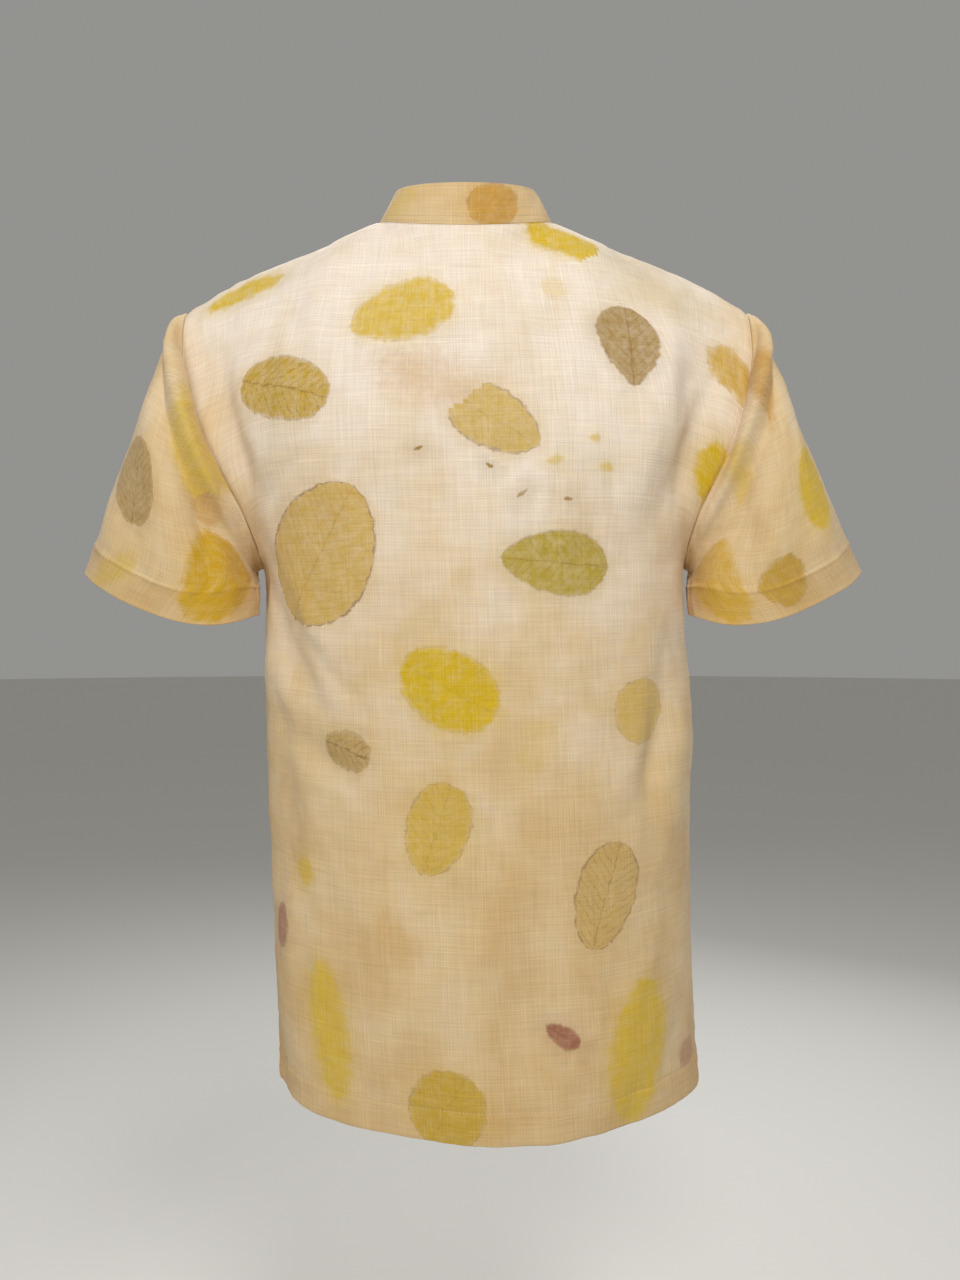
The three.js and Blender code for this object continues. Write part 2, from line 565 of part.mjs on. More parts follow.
for (let i = 0; i < BUTTON.count; i += 1) {
  const button = add(`button_${i + 1}`, buttonGeometry(), BUTTON_RESIN);
  const { place, normal } = onPlacket(BUTTON.first + BUTTON.spacing * i);
  button.position.copy(place).addScaledVector(normal, SEAM_GAP);
  button.quaternion.setFromUnitVectors(point(0, 0, 1), normal);
}

export default kurta;
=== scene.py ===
"""A men's short-sleeved kurta in leaf-printed linen, hollow and open as it is worn.

The file is laid out as an add-on and run as a script, with one operator for each piece or group of like
pieces, and one for the stage. The cut's sizes are in millimetres, and the meshes are in metres in the frame
of the solids: +Z up, the wearer facing -Y, the wearer's left sleeve at +X, and the origin in the middle of
the neck opening.
"""
import math
from typing import NamedTuple

import bpy
import numpy as np
from bpy.props import FloatProperty, FloatVectorProperty, PointerProperty
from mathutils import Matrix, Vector


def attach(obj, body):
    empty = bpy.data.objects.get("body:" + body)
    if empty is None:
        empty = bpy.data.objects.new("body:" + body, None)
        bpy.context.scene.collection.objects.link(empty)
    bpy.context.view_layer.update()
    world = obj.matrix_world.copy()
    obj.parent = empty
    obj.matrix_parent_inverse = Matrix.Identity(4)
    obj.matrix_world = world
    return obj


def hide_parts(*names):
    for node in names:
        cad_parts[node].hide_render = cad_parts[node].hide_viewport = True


bl_info = {
    "name": "Leaf-printed linen kurta",
    "version": (1, 0, 0),
    "blender": (4, 5, 0),
    "location": "View3D > Sidebar > Kurta",
    "description": "Builds a short-sleeved kurta in printed linen round its solids",
    "category": "Object",
}

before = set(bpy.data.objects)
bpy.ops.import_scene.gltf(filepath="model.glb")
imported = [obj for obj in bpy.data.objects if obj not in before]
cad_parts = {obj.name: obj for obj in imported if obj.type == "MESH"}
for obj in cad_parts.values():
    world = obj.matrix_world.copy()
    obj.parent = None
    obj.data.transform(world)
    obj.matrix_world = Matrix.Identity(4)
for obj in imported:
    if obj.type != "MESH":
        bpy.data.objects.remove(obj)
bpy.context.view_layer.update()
MM = 0.001


def linear(colour):
    """An sRGB hex colour as linear red, green and blue."""
    parts = [int(colour[i:i + 2], 16) / 255 for i in (1, 3, 5)]
    return tuple(part / 12.92 if part <= 0.04045 else ((part + 0.055) / 1.055) ** 2.4 for part in parts)


def colour_property(name, description, colour):
    return FloatVectorProperty(name=name, description=description, subtype="COLOR", size=3,
                               min=0, max=1, default=linear(colour))


def size_property(name, description, default):
    return FloatProperty(name=name, description=description, default=default, min=0, unit="LENGTH")


# ---------------------------------------------------------------- sizes a user would change


class ClothSettings(bpy.types.PropertyGroup):
    thickness: size_property("Cloth", "How thick one layer is drawn", 0.0008)
    hem_thickness: size_property("Turned hem", "How thick a turned-up hem is drawn", 0.0016)
    cream: colour_property("Cream", "The palest ground, on the upper back", "#EEDFCD")
    beige: colour_property("Beige", "The ground's usual colour", "#DBBF91")
    ochre: colour_property("Ochre", "The ground where most dye was left", "#C69B57")
    brown: colour_property("Tannin brown", "The prints' edges and veins", "#7A5020")


class SewingSettings(bpy.types.PropertyGroup):
    pitch: size_property("Pitch", "From one stitch to the next", 0.003)
    stitch: size_property("Stitch", "How long a stitch shows", 0.0022)
    thread: size_property("Thread", "How thick the thread is drawn", 0.00045)
    colour: colour_property("Thread", "The sewing thread's colour", "#D9C394")


class StageSettings(bpy.types.PropertyGroup):
    floor_drop: size_property("Floor", "How far the floor is below the neck", 1.46)
    floor_colour: colour_property("Floor", "The floor's colour", "#E4E2DD")
    key_power: FloatProperty(name="Key light", description="The key light's power in watts",
                             default=30, min=0)


# ---------------------------------------------------------------- the cut, as in the solids

HEM_SHIFT = -20         # how far the hem hangs to the wearer's right
SWAY_EASE = 1.3
BODY_LENGTH = 760
NECK_SIDE = np.array([77.0, 4.0, 0.0])
BACK_NECK = np.array([0.0, 64.0, -24.5])
FRONT_NECK = np.array([0.0, -72.0, -77.0])
NECK_EASE = 1.3
NECK_SHARE = 0.4        # the share of a panel's top, from the middle, that is neckline
SHOULDER_BOW = 6
BODY_HEM = 25
SLIT_HEM = 10
SLEEVE_HEM = 28
FRONT_CUT = 2
PLACKET_WIDTH = 30
PLACKET_STITCH_INSET = 3
# how far each placket lies out from the front, and how thick it is
PLACKET_LAYERS = {"placket_top": (1.75, 1.35), "placket_under": (-1.5, 1.2)}

# x, y, z round the left armhole, from its top by way of the back
ARMHOLE = [(243, 22, -86), (241, 50, -132), (224, 60, -197), (196, 38, -262),
           (188, -6, -303), (201, -44, -268), (219, -52, -197), (238, -26, -129)]


class Level(NamedTuple):
    """A level of the body, of both panels."""
    half: float
    side_y: float
    side_z: float
    back_y: float
    front_y: float
    mid_z: float
    vent: float
    square: float


BODY = [
    Level(half=185, side_y=-8, side_z=-757, back_y=108, front_y=-113, mid_z=-768, vent=9, square=1.78),
    Level(half=186, side_y=-8, side_z=-690, back_y=107, front_y=-113, mid_z=-697, vent=0, square=2.0),
    Level(half=186, side_y=-8, side_z=-605, back_y=105, front_y=-115, mid_z=-609, vent=0, square=2.1),
    Level(half=189, side_y=-8, side_z=-467, back_y=104, front_y=-119, mid_z=-469, vent=0, square=2.15),
    Level(half=188, side_y=-8, side_z=-377, back_y=108, front_y=-126, mid_z=-379, vent=0, square=2.15),
    Level(half=188, side_y=-6, side_z=-303, back_y=111, front_y=-128, mid_z=-303, vent=0, square=2.15),
]
SLIT_LEVEL = 1
RIBS_LEVEL = 4
ARMPIT_LEVEL = 5
TOP_LEVEL = 9


class Yoke(NamedTuple):
    """A level above the armpit, from the middle out to the armhole at an angle round it."""
    angle: float
    middle: tuple
    inner: tuple
    outer: tuple


YOKES = {
    "back": [
        Yoke(112, (0, 109, -195), (90, 103, -191), (165, 84, -199)),
        Yoke(66, (0, 96, -109), (87, 78, -69), (168, 70, -111)),
        Yoke(34, (0, 77, -58), (84, 46, -26), (165, 50, -71)),
    ],
    "front": [
        Yoke(112, (0, -124, -203), (90, -114, -197), (162, -84, -201)),
        Yoke(66, (0, -104, -139), (86, -84, -91), (166, -60, -113)),
        Yoke(34, (0, -86, -103), (83, -38, -25), (163, -26, -63)),
    ],
}


class Ring(NamedTuple):
    """A ring of the left sleeve through four points."""
    top: tuple
    back: tuple
    under: tuple
    front: tuple


SLEEVE = [
    Ring((251, 22, -91), (233, 68, -200), (195, -1, -309), (229, -57, -200)),
    Ring((259, 20, -112), (245, 75, -216), (192, 6, -320), (240, -58, -214)),
    Ring((288, 15, -193), (255, 76, -269), (190, 14, -334), (252, -53, -263)),
    Ring((341, 8, -308), (250, 70, -353), (191, 18, -348), (250, -52, -342)),
]

COLLAR_TOP = {"side": (63, 4, 26.5), "back": (0, 58, 14), "front": (0, -63, -39)}
COLLAR_HEIGHT = 36
COLLAR_THICKNESS = 1.7
COLLAR_ENDS_GAP = 6
COLLAR_CORNER = 16
COLLAR_SEAT = 0.5
COLLAR_STITCH_HEIGHTS = (0.08, 0.2, 0.93)
BUTTONS = 4
BUTTON_EDGE = 0.3
BUTTON_THREAD_OUT = 1.25    # from the middle of a button to its thread
HOLES_APART = 3.2

# ---------------------------------------------------------------- folds


class Fold(NamedTuple):
    """A soft trough or ridge from one x, z to another. It bows to one side, rises out of the cloth or sinks
    below it, and is wider on one of its sides by the skew."""
    start: tuple
    end: tuple
    bow: float
    rise: float
    width: float
    skew: float = 1


BACK_FOLDS = [
    Fold((217, -165), (177, -260), 0, -5, 15),
    Fold((196, -275), (118, -445), 5, -8, 13, 1.4),
    Fold((176, -420), (92, -484), 9, -5, 14),
    Fold((-196, -125), (-160, -275), -6, -9, 17),
    Fold((-180, -100), (-132, -270), 6, 4, 16),
    Fold((-174, -360), (-126, -525), -8, -7, 14),
    Fold((-176, -380), (-172, -490), 0, 4, 14),
    Fold((168, -450), (154, -600), 3, -4.5, 16),
    Fold((-160, -540), (-154, -715), 0, -4.5, 18),
]
FRONT_FOLDS = [
    Fold((194, -285), (112, -410), -6, -7, 14),
    Fold((176, -150), (150, -262), 5, -6, 16),
    Fold((-194, -280), (-104, -430), 7, -7.5, 14),
    Fold((-180, -140), (-146, -255), -5, -6, 17),
    Fold((96, -440), (112, -700), 6, -6, 22),
    Fold((-88, -470), (-120, -730), -5, -6, 24),
    Fold((-176, -420), (-118, -500), 7, -5, 15),
]
SLEEVE_FOLDS = {
    ("left", "back"): [
        Fold((258, -100), (192, -292), -14, 8, 13, 0.8),
        Fold((252, -120), (198, -262), -13, -6, 9),
        Fold((212, -280), (204, -345), 2, -5, 10),
        Fold((286, -170), (300, -330), 4, -3, 16),
    ],
    ("left", "front"): [
        Fold((256, -108), (200, -286), -12, 6, 14, 0.8),
        Fold((249, -126), (206, -256), -11, -4.5, 10),
        Fold((292, -190), (298, -325), 3, -3, 15),
    ],
    ("right", "back"): [
        Fold((-262, -104), (-206, -254), 13, 7.5, 13, 1.2),
        Fold((-251, -120), (-198, -262), 13, -6, 9),
        Fold((-214, -285), (-203, -345), 2, -5.5, 10),
        Fold((-280, -190), (-292, -325), -4, -3, 15),
    ],
    ("right", "front"): [
        Fold((-258, -104), (-212, -262), 12, 6, 13, 1.2),
        Fold((-250, -128), (-206, -258), 11, -5, 9),
        Fold((-286, -200), (-298, -320), -4, -3, 14),
    ],
}

# Finer creases, over the large folds that the solids have too.
BACK_CREASES = [
    Fold((-58, -30), (-96, -44), 2, -1.3, 4),
    Fold((-60, -40), (-92, -62), -2, 1.1, 5),
    Fold((-186, -190), (-181, -262), 2, -4, 7),
    Fold((-168, -100), (-172, -250), 5, 2.5, 8),
    Fold((208, -150), (184, -252), 0, -4, 8),
    Fold((-204, -150), (-184, -250), 0, -3.5, 8),
    Fold((150, -120), (168, -250), -8, 2.2, 9),
    Fold((128, -215), (170, -262), 4, -2.2, 7),
    Fold((-84, -236), (-128, -322), 5, -1.8, 6),
    Fold((-100, -200), (-118, -300), 5, 1.6, 8),
    Fold((-196, -150), (-170, -215), 3, 2.5, 8),
    Fold((-120, -246), (-140, -288), 3, 1.4, 5),
    Fold((-168, -378), (-176, -480), 3, 2.4, 8),
    Fold((-150, -400), (-138, -560), -4, -2.6, 9),
    Fold((186, -262), (140, -352), 4, -3.2, 7),
    Fold((176, -300), (128, -372), -3, 2, 8),
    Fold((160, -330), (96, -420), 6, -2.6, 7),
    Fold((180, -372), (150, -470), -4, 2.2, 9),
    Fold((206, -120), (188, -196), 4, -2.4, 8),
    Fold((152, -583), (146, -720), 3, -2.4, 10),
    Fold((98, -594), (34, -590), 3, -0.7, 3.5),
    Fold((28, -613), (-8, -612), 2, -0.6, 3),
    Fold((108, -726), (78, -736), 2, -0.8, 4),
    Fold((60, -470), (72, -640), 6, 1.1, 14),
    Fold((-30, -520), (-44, -700), -5, -1.2, 16),
    Fold((-96, -560), (-88, -740), 4, 1.3, 15),
    Fold((10, -60), (30, -180), 4, -0.9, 14),
    Fold((-52, -90), (-70, -210), -4, 1.0, 13),
    Fold((96, -70), (110, -170), 4, -1.2, 12),
]
FRONT_CREASES = [
    Fold((58, -70), (96, -120), 3, -1.4, 6),
    Fold((-60, -78), (-98, -132), -3, -1.3, 6),
    Fold((186, -262), (136, -340), 4, -3, 7),
    Fold((-184, -258), (-128, -352), -4, -3.2, 8),
    Fold((170, -330), (120, -420), 5, 2.2, 9),
    Fold((-172, -340), (-120, -430), -5, 2.4, 9),
    Fold((36, -400), (70, -520), 5, -1.8, 11),
    Fold((-34, -396), (-60, -540), -5, 1.5, 12),
    Fold((52, -560), (44, -740), 4, 1.3, 14),
    Fold((-50, -580), (-36, -745), -4, -1.4, 14),
    Fold((150, -560), (142, -730), 4, -2.2, 11),
    Fold((-156, -570), (-150, -735), -3, -2.3, 12),
]
SLEEVE_CREASES = {
    ("left", "back"): [
        Fold((252, -106), (200, -286), 10, -12, 10, 0.35),
        Fold((259, -100), (208, -294), 11, 6.5, 4, 3),
        Fold((256, -150), (238, -262), 12, 1.6, 9),
        Fold((226, -250), (214, -338), 3, 2.6, 7),
        Fold((276, -150), (270, -320), 5, 1.4, 11),
        Fold((300, -230), (318, -320), -3, -1.6, 10),
        Fold((236, -296), (240, -345), 2, -2, 8),
    ],
    ("left", "front"): [
        Fold((252, -114), (196, -276), 16, -7, 8),
        Fold((264, -112), (210, -290), 18, 5, 10),
        Fold((270, -170), (262, -330), 5, -1.8, 11),
        Fold((304, -236), (316, -316), -3, 1.5, 10),
    ],
    ("right", "back"): [
        Fold((-255, -108), (-198, -280), -7, -11, 3.5, 2.6),
        Fold((-263, -104), (-206, -290), -8, 6, 11, 0.38),
        Fold((-262, -150), (-240, -256), -10, 1.6, 9),
        Fold((-230, -260), (-222, -340), -3, 2.4, 7),
        Fold((-282, -160), (-268, -318), -5, 1.5, 11),
        Fold((-306, -236), (-312, -318), 3, -1.4, 10),
    ],
    ("right", "front"): [
        Fold((-252, -116), (-200, -270), -15, -6.5, 8),
        Fold((-264, -114), (-214, -286), -17, 5, 10),
        Fold((-274, -176), (-262, -326), -5, -1.8, 11),
        Fold((-300, -240), (-318, -312), 3, 1.4, 9),
    ],
}

# The height, length and stretch of the cloth's own unevenness, from the largest size to the smallest.
PANEL_WAVES = [(1.3, 95, 2.4), (0.55, 36, 2.0), (0.2, 16, 1.3)]
SLEEVE_WAVES = [(0.9, 70, 1.8), (0.35, 30, 1.5), (0.14, 14, 1.2)]
BACK_SEED = 11
FRONT_SEED = 23
LEFT_SEED = 41
RIGHT_SEED = 57
COLLAR_SEED = 71

# ---------------------------------------------------------------- sections


def smoothstep(value, low, high):
    share = np.clip((value - low) / (high - low), 0, 1)
    return share * share * (3 - 2 * share)


def everywhere(points, count):
    """The same key points for each of count places."""
    return np.broadcast_to(np.asarray(points, float)[:, None, :], (len(points), count, 3))


def spline(keys, at, closed=False):
    """Places on Catmull-Rom curves through keys, an array of keys by places by 3, at counts of keys."""
    if closed:
        padded = np.concatenate([keys[-1:], keys, keys[:2]])
        last = len(keys) - 1
    else:
        padded = np.concatenate([2 * keys[:1] - keys[1:2], keys, 2 * keys[-1:] - keys[-2:-1]])
        last = len(keys) - 2
    step = np.clip(np.floor(at).astype(int), 0, last)
    share = (at - step)[:, None]
    column = np.arange(len(at))
    before, here, there, after = (padded[step + shift, column] for shift in range(4))
    leave = (there - before) / 2
    arrive = (after - here) / 2
    bend = 3 * (there - here) - 2 * leave - arrive
    return here + leave * share + bend * share**2 + (2 * (here - there) + leave + arrive) * share**3


def armhole(angle, face="back"):
    """The left armhole at angles from its top, down the given panel's side."""
    turn = angle if face == "back" else 360 - angle
    return spline(everywhere(ARMHOLE, len(angle)), turn / 360 * len(ARMHOLE), closed=True)


def neck_point(side, middle, angle):
    """A quarter of a neck ring, from its middle (0 degrees) to its side (90)."""
    towards = np.cos(np.radians(angle))
    down = np.maximum(towards, 0) ** NECK_EASE
    return np.stack([side[0] * np.sin(np.radians(angle)),
                     side[1] + (middle[1] - side[1]) * towards,
                     side[2] + (middle[2] - side[2]) * down], axis=-1)


def body_point(level, reach, face):
    """A boxy quarter ellipse; reach runs from 0 at the middle to 1 at the side."""
    sine = np.sin(reach * math.pi / 2)
    cosine = np.maximum(np.cos(reach * math.pi / 2), 0)
    stretch = (sine**level.square + cosine**level.square) ** (-1 / level.square)
    towards = cosine * stretch
    edge_y = level.side_y + (level.vent if face == "back" else -level.vent)
    middle_y = level.back_y if face == "back" else level.front_y
    return np.stack([level.half * sine * stretch, edge_y + (middle_y - edge_y) * towards,
                     level.side_z + (level.mid_z - level.side_z) * towards], axis=-1)


def yoke_point(row, reach, face):
    mirrored = (-row.inner[0], row.inner[1], row.inner[2])
    end = armhole(np.array([row.angle]), face)[0]
    keys = everywhere([mirrored, row.middle, row.inner, row.outer, end], len(reach))
    return spline(keys, 1 + 3 * reach)


def top_point(reach, face):
    """The neckline, and then the shoulder seam."""
    middle = BACK_NECK if face == "back" else FRONT_NECK
    neck = neck_point(NECK_SIDE, middle, 90 * np.minimum(reach / NECK_SHARE, 1))
    share = np.clip((reach - NECK_SHARE) / (1 - NECK_SHARE), 0, 1)
    seam = NECK_SIDE + (armhole(np.zeros(1))[0] - NECK_SIDE) * share[:, None]
    seam[:, 2] += SHOULDER_BOW * np.sin(math.pi * share**2)
    return np.where((reach <= NECK_SHARE)[:, None], neck, seam)


def level_points(reach, face):
    return np.stack([body_point(level, reach, face) for level in BODY]
                    + [yoke_point(row, reach, face) for row in YOKES[face]]
                    + [top_point(reach, face)])


def other_face(face):
    return "front" if face == "back" else "back"


def armhole_angle(level):
    angles = [(180, 0, 0)] + [(row.angle, 0, 0) for row in YOKES["back"]] + [(0, 0, 0)]
    return np.maximum(spline(everywhere(angles, len(level)), level - ARMPIT_LEVEL)[:, 0], 0)


def loose_edge(level, face):
    """A panel's edge as its own rows would leave it, before it is sewn to its neighbours."""
    side = np.ones(len(level))
    keys = np.concatenate([level_points(side, face), level_points(side, other_face(face))[-2:-1]])
    return spline(keys, level)


def edge_point(level, face):
    seam = (loose_edge(level, "back") + loose_edge(level, "front")) / 2
    sewn = np.where((level < SLIT_LEVEL)[:, None], loose_edge(level, face), seam)
    return np.where((level >= ARMPIT_LEVEL)[:, None], armhole(armhole_angle(level), face), sewn)


def panel_point(across, level, face):
    """Points of a panel. across runs from -1 at the wearer's right side to 1 at the left, and level from 0 at
    the hem to the top."""
    shape = across.shape
    across, level = across.ravel(), level.ravel()
    reach = np.abs(across)
    keys = level_points(reach, face)
    straight = 2 * keys[-1] - keys[-2]
    over = level_points(reach, other_face(face))[-2]
    blend = smoothstep(reach, NECK_SHARE * 0.75, NECK_SHARE * 1.1)[:, None]
    keys = np.concatenate([keys, (straight + (over - straight) * blend)[None]])
    made = spline(keys, level)
    edge = edge_point(level, face)
    made += (edge - loose_edge(level, face)) * (reach**4)[:, None]
    made = np.where((reach == 1)[:, None], edge, made)
    made[:, 0] *= np.where(across < 0, -1, 1)
    return made.reshape(*shape, 3)


def sleeve_ring(ring, angle):
    turn = np.radians(angle)[:, None]
    top, back, under, front = (np.array(place, float) for place in ring)
    middle = (top + back + under + front) / 4
    return (middle + (top - under) * np.cos(turn) / 2 + (back - front) * np.sin(turn) / 2
            + (top + under - back - front) * np.cos(2 * turn) / 4)


def sleeve_point(angle, down, side):
    """Points of a sleeve. down runs from 0 at the armhole to the number of rings at the hem."""
    shape = angle.shape
    angle, down = angle.ravel() % 360, down.ravel()
    keys = np.stack([armhole(angle)] + [sleeve_ring(ring, angle) for ring in SLEEVE])
    made = spline(keys, down)
    made[:, 0] *= side
    return made.reshape(*shape, 3)


# ---------------------------------------------------------------- cloth


def sway(z):
    """The cloth hangs a little to the wearer's right."""
    return HEM_SHIFT * (np.maximum(-z, 0) / BODY_LENGTH) ** SWAY_EASE


def fold_rise(folds, x, z):
    """How far all the folds together move the cloth out at places seen from behind."""
    rise = np.zeros_like(x)
    for fold in folds:
        start = np.array(fold.start, float)
        along = np.array(fold.end, float) - start
        length = np.hypot(*along)
        along /= length
        share = ((x - start[0]) * along[0] + (z - start[1]) * along[1]) / length
        taper = smoothstep(share, -0.15, 0.3) * (1 - smoothstep(share, 0.65, 1.15))
        bend = fold.bow * np.sin(math.pi * np.clip(share, 0, 1))
        side = (z - start[1]) * along[0] - (x - start[0]) * along[1] - bend
        width = np.where(side > 0, fold.width * fold.skew, fold.width)
        rise += fold.rise * taper * np.exp(-((side / width) ** 2))
    return rise


def waves(p, q, length, stretch, seed, count=18):
    """Soft uneven waves about one length long, drawn out along q, and about 1 high."""
    random = np.random.default_rng(seed)
    total = np.zeros_like(p)
    for _ in range(count):
        turn = random.uniform(0, 2 * math.pi)
        size = length * random.uniform(0.65, 1.6)
        start = random.uniform(0, 2 * math.pi)
        run = p * math.cos(turn) + q * math.sin(turn) / stretch
        total += np.sin(2 * math.pi * run / size + start)
    return total / math.sqrt(count)


def seam_relief(away, along, seed):
    """Beside a seam the thread pulls the cloth in, the allowance inside raises it, and it puckers."""
    groove = -0.8 * np.exp(-(((away - 1.2) / 1.5) ** 2)) * smoothstep(away, 0, 0.9)
    allowance = 0.45 * np.exp(-(((away - 7) / 4.5) ** 2))
    pucker = 0.5 * waves(along, away, 15, 3, seed) * np.exp(-away / 10) * smoothstep(away, 0, 4)
    return groove + allowance + pucker


def hem_relief(up, along, depth, seed):
    """A turned-up hem stands out below its row of stitches, which pulls it in and puckers it. The numbers
    here and above are heights, places and widths in millimetres."""
    turned = 0.5 * (1 - smoothstep(up, depth - 2, depth + 2))
    groove = -0.7 * np.exp(-(((up - depth) / 1.6) ** 2))
    pucker = 0.55 * waves(along, up, 15, 2.5, seed) * np.exp(-np.abs(up - depth) / 11)
    edge = -0.35 * np.exp(-((up / 1.1) ** 2))
    return turned + groove + pucker + edge


def turned_up(up, depth):
    """1 on a turned-up hem and 0 above it."""
    return 1 - smoothstep(up, depth - 1, depth + 1)


class Cloth:
    """A surface of rows and columns of points in millimetres. Rows run along q and columns along p."""

    def __init__(self, place, outward):
        self.place = place
        self.outward = outward
        self.set_normals()
        steps = np.linalg.norm(np.diff(place, axis=1), axis=2)
        self.p = np.concatenate([np.zeros((len(place), 1)), np.cumsum(steps, axis=1)], axis=1)
        self.width = self.p[:, -1:]
        self.p = self.p - self.width / 2
        rises = np.linalg.norm(np.diff(place, axis=0), axis=2)
        self.q = np.concatenate([np.zeros((1, place.shape[1])), np.cumsum(rises, axis=0)])
        self.height = self.q[-1:]

    def set_normals(self):
        padded = np.pad(self.place, ((1, 1), (1, 1), (0, 0)), mode="edge")
        across = padded[1:-1, 2:] - padded[1:-1, :-2]
        up = padded[2:, 1:-1] - padded[:-2, 1:-1]
        normal = np.cross(across, up) * self.outward
        self.normal = normal / np.maximum(np.linalg.norm(normal, axis=2, keepdims=True), 1e-9)

    def move_out(self, rise):
        self.place = self.place + self.normal * np.asarray(rise)[..., None]

    def hang(self):
        self.place[..., 0] += sway(self.place[..., 2])
        self.set_normals()

    def beside_edge(self):
        """How far each place is from the nearer end of its row."""
        return self.width / 2 - np.abs(self.p)

    def add_waves(self, rise, sizes, calm, low, seed):
        """Adds unevenness of each size to a rise. Only the largest size grows where low does."""
        for number, (height, length, stretch) in enumerate(sizes):
            grown = calm * low if number == 0 else calm
            rise += grown * height * waves(self.p, self.q, length, stretch, seed + number)


def between(start, end, count):
    return list(np.linspace(start, end, count, endpoint=False))


ROWS_IN_STRETCH = [16, 20, 32, 22, 18, 26, 24, 14, 12]      # from each level to the next
HEM_LEVEL = 0.352       # the stitched line of the hem, 25 mm up
SEAM_ROWS = [0.011, 0.03, HEM_LEVEL - 0.022, HEM_LEVEL, HEM_LEVEL + 0.022, 8.93, 8.965, 8.985, TOP_LEVEL]
EVEN_ROWS = [row for level, count in enumerate(ROWS_IN_STRETCH) for row in between(level, level + 1, count)]
PANEL_ROWS = sorted(set(SEAM_ROWS + EVEN_ROWS))
HALF_SHARES = between(0, 0.94, 66) + [0.94, 0.955, 0.968, 0.979, 0.987, 0.9925, 0.9965, 1]
FAR_FROM_EDGE = 200
CALM = 22               # creases and unevenness die out this near a seam
LOW = (480, 760)        # how far below the neck the largest unevenness starts to grow, and is grown
LOW_GROWTH = 0.7
FLUTTER = 1.3           # the hem's own waves: their height, their length and how far up they reach
FLUTTER_LENGTH = 82
FLUTTER_REACH = 90


def cut_share(level, width):
    """The share of the front's half width that a real width takes at each level."""
    probe = 0.02
    return width * probe / panel_point(np.full(len(level), probe), level, "front")[:, 0]


def panel_cloth(face, shares, edged=True):
    """A panel with its folds and seams. shares is one row of places across for each level in PANEL_ROWS, and
    edged says whether those rows end at the panel's side edges."""
    level = np.array(PANEL_ROWS)[:, None] + np.zeros_like(shares)
    cloth = Cloth(panel_point(shares, level, face), -1 if face == "back" else 1)
    x, z = cloth.place[..., 0], cloth.place[..., 2]
    reach = np.abs(shares)
    folds = BACK_FOLDS if face == "back" else FRONT_FOLDS
    creases = BACK_CREASES if face == "back" else FRONT_CREASES
    seed = BACK_SEED if face == "back" else FRONT_SEED
    fade = smoothstep(1 - reach, 0, 0.1) * smoothstep(TOP_LEVEL - level, 0, 0.8)
    cloth.move_out(fold_rise(folds, x, z) * fade)
    away = cloth.beside_edge() if edged else np.full_like(x, FAR_FROM_EDGE)
    below_top = cloth.height - cloth.q
    sewn = smoothstep(level, SLIT_LEVEL - 0.15, SLIT_LEVEL)
    open_edge = 1 - sewn
    calm = smoothstep(away, 0, CALM) * smoothstep(below_top, 0, CALM)
    low = 1 + LOW_GROWTH * smoothstep(-z, *LOW)
    rise = calm * fold_rise(creases, x, z)
    cloth.add_waves(rise, PANEL_WAVES, calm, low, seed)
    rise += sewn * seam_relief(away, cloth.q, seed + 3)
    rise += seam_relief(below_top, cloth.p, seed + 4)
    rise += hem_relief(cloth.q, cloth.p, BODY_HEM, seed + 5)
    rise += open_edge * hem_relief(away, cloth.q, SLIT_HEM, seed + 6)
    flutter = FLUTTER * waves(cloth.p, np.zeros_like(cloth.q), FLUTTER_LENGTH, 1, seed + 7)
    rise += flutter * np.exp(-cloth.q / FLUTTER_REACH) * smoothstep(away, 0, 30)
    cloth.move_out(rise)
    cloth.hang()
    cloth.level = level
    return cloth


def back_cloth():
    half = np.array(HALF_SHARES)
    row = np.concatenate([-half[::-1], half[1:]])
    return panel_cloth("back", np.tile(row, (len(PANEL_ROWS), 1)))


def front_cloth():
    cut = cut_share(np.array(PANEL_ROWS), FRONT_CUT / 2)[:, None]
    half = cut + (1 - cut) * np.array(HALF_SHARES)[None]
    return panel_cloth("front", np.concatenate([-half[:, ::-1], half], axis=1))


def placket_cloth():
    """The strip of the front that the plackets lie on."""
    width = cut_share(np.array(PANEL_ROWS), PLACKET_WIDTH / 2)[:, None]
    columns = np.array([-1, -0.97, -0.92] + between(-0.84, 0.84, 14) + [0.84, 0.92, 0.97, 1])
    cloth = panel_cloth("front", width * columns[None], edged=False)
    foot = PANEL_ROWS.index(RIBS_LEVEL)
    for name in ("place", "normal", "p", "q", "level"):
        setattr(cloth, name, getattr(cloth, name)[foot:])
    return cloth


HEM_HEIGHTS = [0, 0.8, 2, 6, 11, 16, 21, 24, 25.6, 26.6, 27.4, 28.2, 29, 30.2, 32]
ABOVE_HEM = between(1 / 60, 0.9, 52) + between(0.9, 0.985, 7) + [0.985, 0.993, 1]
SLEEVE_EDGE = [0, 0.6, 1.4, 2.6, 4]     # degrees from the underarm seam
SLEEVE_COLUMNS = 196
PROBED_ROWS = 240


def sleeve_levels(angles, side):
    """Rows at the same heights above the hem all round, as counts of rings down from the armhole."""
    fine = np.linspace(len(SLEEVE), 0, PROBED_ROWS)
    angle, down = np.meshgrid(angles, fine)
    steps = np.linalg.norm(np.diff(sleeve_point(angle, down, side), axis=0), axis=2)
    height = np.concatenate([np.zeros((1, len(angles))), np.cumsum(steps, axis=0)])
    levels = []
    hem_top = HEM_HEIGHTS[-1]
    for column in range(len(angles)):
        full = height[-1, column]
        wanted = HEM_HEIGHTS + [hem_top + (full - hem_top) * share for share in ABOVE_HEM]
        levels.append(np.interp(wanted, height[:, column], fine))
    return np.array(levels).T


